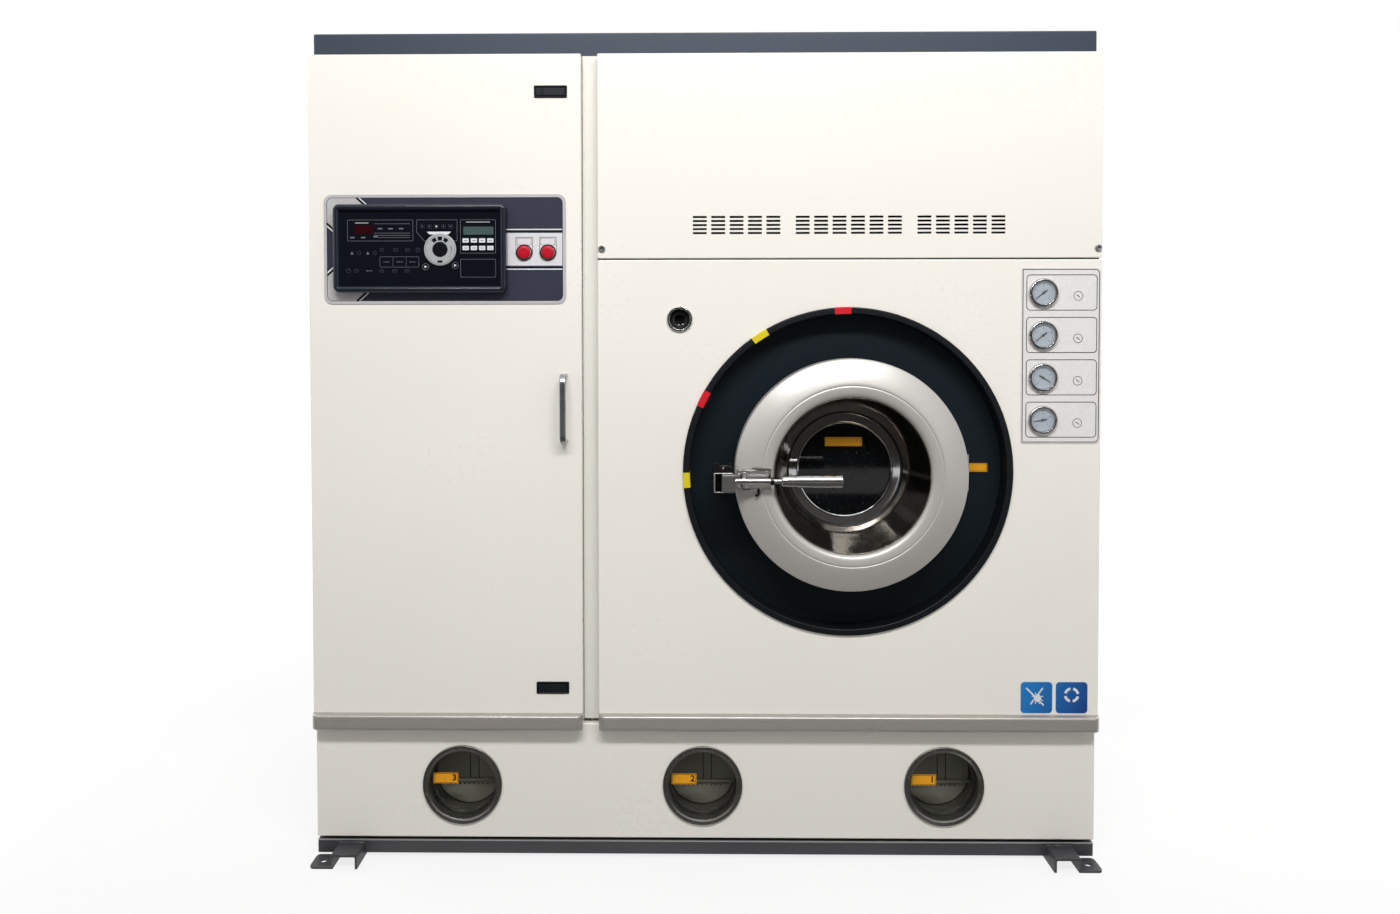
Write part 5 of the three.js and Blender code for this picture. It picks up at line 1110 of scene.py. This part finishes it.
def consolePlate():
    left, right, bottom, top = (console[k] for k in ("left", "right", "bottom", "top"))
    rim, back, face = console["rim"], -0.3, -2.3
    plate = Piece(plateSilver)
    holes = buttonHoles() + [roundRect(*housing["hole"], 1, 2)]
    plate.plate(roundRect(left, right, bottom, top, console["corner"], 8), face, back, 0.5, holes)
    field = roundRect(left + rim, right - rim, bottom + rim, top - rim, 13, 8)
    fieldHoles = buttonHoles() + [roundRect(-834, -450, 1316, 1507, 10, 4)]
    plate.use(fieldSlate).ink(field, face, fieldHoles, 0.12)
    face -= 0.12
    middle = bottom + top
    corner = (
        (-858, 1516), (-855, 1524), (-847, 1528), (-790, 1528), (-768, 1508), (-835, 1508), (-835, 1449),
        (-858, 1470))
    for flip in (False, True):
        place = (lambda x, z: (x, middle - z)) if flip else (lambda x, z: (x, z))
        plate.use(plateSilver).ink([place(*p) for p in corner], face)
        for shift, width, finish in ((0, 4.8, inkBlack), (5.6, 3.6, inkWhite), (9.6, 2.4, inkBlack)):
            plate.use(finish)
            plate.inkLine(place(-790 + shift, 1528), place(-768 + shift, 1508), width, face, 0.2)
            plate.inkLine(place(-858, 1470 - shift), place(-835, 1449 - shift), width, face, 0.2)
    plate.use(inkPlate).inkFrame(field, 1.2, face - 0.15)
    plate.use(bandSilver).ink(roundRect(-450, right - rim, 1373, 1447, 0), face, buttonHoles(0.1))
    stripes = ((inkBlack, (1451.5, 1368.5), 3, 0.1), (inkWhite, (1455, 1365), 2.6, 0.14))
    for finish, levels, width, lift in stripes:
        for level in levels:
            plate.use(finish).inkLine((-450, level), (right - rim, level), width, face, lift)
    for x in buttons["places"]:
        outline = [(x - 19.5, 1438)] + arcPoints(x, 1402, 19.5, 180, 360, 20) + [(x + 19.5, 1438)]
        plate.use(inkPlate).inkFrame(outline, 1.1, face - 0.15)
        plate.inkFrame(roundRect(x - 16.5, x + 16.5, 1419.5, 1435.5, 0), 0.8, face - 0.15)
        # a dark steel ring round each button: a bezel, darkened as painted shade for the gap round the
        # button's head
        gapShadeRing = filleted([(15.6, -2.5), (18.4, -2.5), (18.4, -3.4, 0.5), (15.6, -3.6, 0.5)], 3)
        plate.use(collarSteel).turn(gapShadeRing, (x, buttons["level"]), steps=56)
    plate.ready("consolePlate", "cabinet_door", "console_print", "console_plate")


def consoleHousing():
    left, right, bottom, top, corner = (housing[k] for k in ("left", "right", "bottom", "top", "corner"))
    outline = roundRect(left, right, bottom, top, corner, 8)
    crest, brim, bend = -27.6, -20.6, 7  # depths of the raised border, and the bend on its two sides
    turns = [math.radians(a) for a in range(15, 90, 15)]
    levels = [(0, -2.6), (0, brim)]
    levels += [(bend - bend * math.cos(a), brim - bend * math.sin(a)) for a in turns]
    levels += [(bend, crest)]
    levels += [(bend + bend * math.sin(a), brim - bend * math.cos(a)) for a in turns]
    levels += [(2 * bend, brim), (2 * bend + 0.4, housing["floor"])]
    body = Piece(blackPlastic)
    body.loft([[onFront(u, v, depth) for u, v in inset(outline, step)] for step, depth in levels])
    body.plate(roundRect(-822, -462, 1328, 1495, 2, 2), -3, 34, 0.8)
    consoleFace(body)
    consoleDial(body)
    body.ready("consoleHousing", "cabinet_door", "black_plastic", "console_housing")


def pushButtons():
    profile = filleted([
        (0, -14), (9.5, -13.6, 4), (14, -12.2, 2), (15, -10, 1), (15, -7, 0.6), (11, -7), (11, 30, 0.6),
        (0, 30)], 4)
    for side, x in zip(("left", "right"), buttons["places"]):
        button = Piece(signalRed).turn(profile, (x, buttons["level"]), steps=56)
        button.ready("pushButton_" + side, "push_button_" + side, "red_plastic", "push_button_" + side)


consolePlate()
consoleHousing()
pushButtons()
print("controller made")


handle = {"x": -318, "bottom": 968, "top": 1128, "reach": 42, "bar": 10, "width": 14, "bend": 18}


def pullHandle():
    x, reach, bar, bend = handle["x"], handle["reach"], handle["bar"], handle["bend"]
    half = bar / 2
    low, high = handle["bottom"] + half, handle["top"] - half
    front = -reach + half
    path = [(-0.3, low)] + arcPoints(front + bend, low + bend, bend, 270, 180, 10)
    path += arcPoints(front + bend, high - bend, bend, 180, 90, 10) + [(-0.3, high)]
    section = roundRect(-handle["width"] / 2, handle["width"] / 2, -half, half, 3.2, 5)
    rings = []
    for i, point in enumerate(path):
        before, after = path[max(0, i - 1)], path[min(len(path) - 1, i + 1)]
        along = Vector((after[0] - before[0], after[1] - before[1])).normalized()
        side = Vector((-along.y, along.x))
        rings.append([onSide(point[0] + side.x * v, point[1] + side.y * v, x + u) for u, v in section])
    Piece(handleSilver).loft(rings).ready("pullHandle", "cabinet_door", "handle_silver", "pull_handle")


def flushLatches():
    left, right = latches["left"], latches["right"]
    for name, level in zip(("lower", "upper"), latches["levels"]):
        rim = Piece(mattBlack)
        outer = roundRect(left, right, level - 14, level + 14, 2.5, 4)
        levels = [(0, -0.3), (0, -1.6), (0.7, -2.3), (2.6, -2.3), (3.4, -1.7), (5, 0), (5, 18)]
        rim.loft([[onFront(u, v, depth) for u, v in inset(outer, step)] for step, depth in levels])
        rim.tray(roundRect(left + 3, right - 3, level - 11, level + 11, 1, 2), [], 20, -0.4, 2.2, 2)
        rim.turn(rod(0, 1.8, level - 10, level + 10), (latches["pivot"], 0), "z", 20)
        rim.ready("latchBezel_" + name, "cabinet_door", "black_plastic", "latch_bezel_" + name)
        paddle = Piece(paddleBlack)
        paddle.plate(roundRect(left + 5.5, right - 5.5, level - 8.5, level + 8.5, 1.2, 3), -2, 2, 0.7)
        x = latches["pivot"] - 2.75
        paddle.use(inkBlack).inkLine((x, level - 8), (x, level + 8), 1.0, -2, 0.05)
        paddle.use(paddleBlack)
        for k in range(4):  # ribs for the thumb
            x = left + 5.5 + 2.6 * k
            paddle.plate(roundRect(x, x + 1.1, level - 6.5, level + 6.5, 0.5, 2), -2.4, -1.9, 0.1)
        paddle.turn(rod(1.95, 3.3, level - 8.5, level + 8.5), (latches["pivot"], 0), "z", 28)
        paddle.ready("latchPaddle_" + name, "latch_paddle_" + name, "black_plastic", "latch_paddle_" + name)


pullHandle()
flushLatches()


def blueTile(name, low, high):
    look = Finish(name)
    x, z = look.axis("X"), look.axis("Z")
    share = look.span(x, 0.722, 0.876)
    rise = look.span(z, 0.349, 0.422)
    blue = look.mix(share * 0.8 + (1 - rise) * 0.2 + look.noise(60, 2) * 0.06, low, high)
    return look.surface({
        "Base Color": blue, "Roughness": 0.25 + look.noise(30, 3) * 0.1, "Coat Weight": 0.5,
        "Normal": look.bump(look.noise(400, 2), 0.00001, 0.3),
    })


tile = {"lefts": (722, 802), "bottom": 348, "side": 75, "corner": 10, "rim": 1.6, "face": -0.55}
tubLabel = {"left": 611, "right": 657, "bottom": 897, "top": 917, "depth": 45.4}


def stuckPlates():
    tileBlue = blueTile("tile_blue", tint(22, 128, 200), tint(10, 62, 134))
    tiles = Piece(inkWhite)
    side, bottom, rim, face = (tile[k] for k in ("side", "bottom", "rim", "face"))
    top, corner = bottom + side, tile["corner"]
    for left in tile["lefts"]:
        right = left + side
        outline = roundRect(left, right, bottom, top, corner, 6)
        tiles.use(inkWhite).plate(outline, -0.35, -0.02, 0.1)
        outline = roundRect(left + rim, right - rim, bottom + rim, top - rim, corner - 1.2, 6)
        tiles.use(tileBlue).plate(outline, face, -0.3, 0.06)
    tiles.use(inkWhite)
    for start, end in (((736, 408), (776, 368)), ((746, 370), (774, 408))):
        tiles.inkLine(start, end, 3.4, face)
    centre = (762, 384)
    tiles.ink(circle(*centre, 8.5, 28), face, (), 0.17)
    for k in range(8):
        angle = 22 + 45 * k
        tiles.inkLine(around(centre, 9, angle), around(centre, 14, angle), 1.8, face)
    arc = rod(11.5, 17.5, face - 0.15, face)
    for k in range(4):
        tiles.turn(arc, (839.5, 392), steps=14, start=10 + 90 * k, sweep=66)
    tiles.ready("blueTiles", "machine", "gauge_print")

    left, right, bottom, top, depth = tubLabel.values()
    label = Piece(labelOrange).plate(roundRect(left, right, bottom, top, 1, 2), depth, depth + 0.5, 0.05)
    border = roundRect(left + 1.5, right - 1.5, bottom + 1.5, top - 1.5)
    label.use(inkBlack).inkFrame(border, 0.7, depth)
    label.ready("tubLabel", "machine", "gauge_print")


stuckPlates()
print("handle, latches and plates made")


def drumFinish():
    look = Finish("drum_steel")
    x, z = look.axis("X") - drumCentre[0] * mm, look.axis("Z") - drumCentre[1] * mm
    angle = look.node("Math", {"operation": "ARCTAN2"}, {0: z, 1: x})
    radius, pitch = 0.33, 0.024  # of the drum, and between its holes, in metres
    row = look.axis("Y") / pitch
    odd = look.node("Math", {"operation": "FLOOR"}, {0: row}) * 0.5
    column = angle * (radius / pitch) + odd
    u, v = (column % 1.0) - 0.5, (row % 1.0) - 0.5
    # the holes are near-black dots: painted shade for the hollow behind them
    dot = look.span(u * u + v * v, 0.035, 0.05, 1, 0)
    smear = look.noise(8, 3)
    steel = look.mix(smear, tint(180, 180, 178), tint(140, 140, 138))
    return look.surface({
        "Base Color": look.mix(dot, steel, tint(12, 12, 14)),
        "Roughness": 0.22 + dot * 0.4 + (smear - 0.5) * 0.1, "Metallic": 1 - dot,
        "Normal": look.bump(1 - dot, 0.0006, 0.5),
    })


kept = {
    enamel: ("left_side_panel", "right_side_panel", "back_panel"),
    # the recessed column takes the darker enamel, painted shade
    columnShadedEnamel: ("inner_frame",),
    brushedSteel: (
        "cabinet_hinge_rod", "solvent_tank", "recovery_casing", "distillation_still", "filter_vessel",
        "electrical_plate"),
    tubPaint: ("tub",),
    drumFinish(): ("drum",),
    castIron: ("drum_shaft_pulley", "motor_pulley"),
    rubber: ("drive_belt",),
    motorPaint: ("drive_motor", "solvent_pump"),
    leverMetal: ("fan_wheel",),
}
for finish, names in kept.items():
    for name in names:
        for place in nodes[name].material_slots:
            place.material = finish
print("kept solids finished")


studio = {
    "world": 0.18,
    "lamps": (
        ("overhead", (0.12, -3.1, 3.5), (0, -0.5, 1.2), (3.2, 0.4), 126),
        ("key", (-3.5, -3.6, 2.4), (0, -0.5, 1.0), (1.6, 2.4), 19),
        ("fill", (3.7, -3.8, 1.9), (0, -0.5, 0.9), (2.0, 2.4), 19),
        ("back", (0.5, 3.6, 3.2), (0, 0.2, 1.0), (3.0, 2.0), 110),
        ("left", (-4.4, 0.9, 2.7), (-0.9, 0, 1.0), (2.4, 2.0), 70),
        ("right", (4.4, 0.9, 2.7), (0.9, 0, 1.0), (2.4, 2.0), 70),
    ),
}
camera = {
    "lens": 27,
    "place": (-0.045, -2.3885, 1.2364),  # metres: X, before the door face, height
    "yaw": 0.70598,
    "pitch": -1.53239,
    "roll": -0.06256,
    "shift": (0.02058, -0.07378),
}


def seenWhite(look):  # 1 for rays that should meet the white background
    kinds = ("Is Camera Ray", "Is Glossy Ray", "Is Transmission Ray")
    rays = [look.node("LightPath", {}, {}, kind) for kind in kinds]
    total = rays[0] + rays[1] + rays[2]
    return look.node("Math", {"operation": "MINIMUM"}, {0: total, 1: 1.0})


def floor():
    look = Finish("studio_floor")
    look.surface({"Base Color": tint(170, 170, 170), "Roughness": 0.85})
    glow = look.node("Emission", {}, {"Color": (1, 1, 1, 1), "Strength": 1.3})
    shader = Wire(look, look.shader.outputs[0])
    x, y = look.axis("X"), look.axis("Y")
    away = look.span(x * x + y * y, 2.5, 9.0)  # beyond the shadow the floor is as white as what is behind it
    share = seenWhite(look) * (0.62 + away * 0.15)
    mixed = look.node("MixShader", {}, {0: share, 1: shader, 2: glow})
    look.fill(look.tree.nodes["Material Output"].inputs["Surface"], mixed)
    data = bpy.data.meshes.new("studioFloor")
    corners = [(-14, -12, 0), (14, -12, 0), (14, 16, 0), (-14, 16, 0)]
    data.from_pydata([(x, y, z - 0.0002) for x, y, z in corners], [], [(0, 1, 2, 3)])
    data.materials.append(look.material)
    placed("studioFloor", data)


def darkFlags():  # dark cloth round the camera's side of the room, which only reflections show
    look = Finish("flag_cloth")
    weave = look.mix(look.noise(300, 2), tint(84, 80, 76), tint(60, 58, 56))
    cloth = look.surface({"Base Color": weave, "Roughness": 0.9})
    side, far, near, low, high = 6.0, -6.4, -1.2, 0.1, 4.4
    walls = {
        "flagBehind": ((-side, far), (side, far)),
        "flagLeft": ((-side, far), (-side, near)),
        "flagRight": ((side, far), (side, near)),
    }
    sheets = {}
    for name, (a, b) in walls.items():
        sheets[name] = [(*a, low), (*b, low), (*b, high), (*a, high)]
    sheets["flagFloor"] = [(-4.0, -5.6, 0.02), (4.0, -5.6, 0.02), (4.0, -0.6, 0.02), (-4.0, -0.6, 0.02)]
    for name, corners in sheets.items():
        data = bpy.data.meshes.new(name)
        data.from_pydata(corners, [], [(0, 1, 2, 3)])
        data.materials.append(cloth)
        made = placed(name, data)
        made.visible_camera = made.visible_diffuse = made.visible_shadow = False


class WorldLook(Finish):
    def __init__(self, world):
        self.tree = world.node_tree
        self.shader = self.tree.nodes["Background"]


def light():
    world = bpy.data.worlds.new("studio")
    bpy.context.scene.world = world
    world.use_nodes = True
    look = WorldLook(world)
    mask = seenWhite(look)
    look.fill(look.shader.inputs["Color"], (1, 1, 1, 1))
    look.fill(look.shader.inputs["Strength"], mask * (1 - studio["world"]) + studio["world"])
    for name, place, target, size, power in studio["lamps"]:
        data = bpy.data.lights.new(name, "AREA")
        data.shape = "RECTANGLE"
        data.size, data.size_y = size
        data.energy = power
        made = placed(name, data)
        made.location = place
        made.rotation_euler = (Vector(target) - Vector(place)).to_track_quat("-Z", "Y").to_euler()


def placeCamera():
    data = bpy.data.cameras.new("camera")
    data.lens = camera["lens"]
    data.sensor_width = 36
    data.shift_x, data.shift_y = camera["shift"]
    data.clip_end = 60
    made = placed("camera", data)
    x, before, height = camera["place"]
    turn = (
        Matrix.Rotation(math.radians(camera["yaw"]), 4, "Z")
        @ Matrix.Rotation(math.radians(90 + camera["pitch"]), 4, "X")
        @ Matrix.Rotation(math.radians(camera["roll"]), 4, "Z")
    )
    made.matrix_world = Matrix.Translation((x, doorFace + before, height)) @ turn
    bpy.context.scene.camera = made


floor()
darkFlags()
light()
placeCamera()
bpy.context.scene.view_settings.view_transform = "Standard"
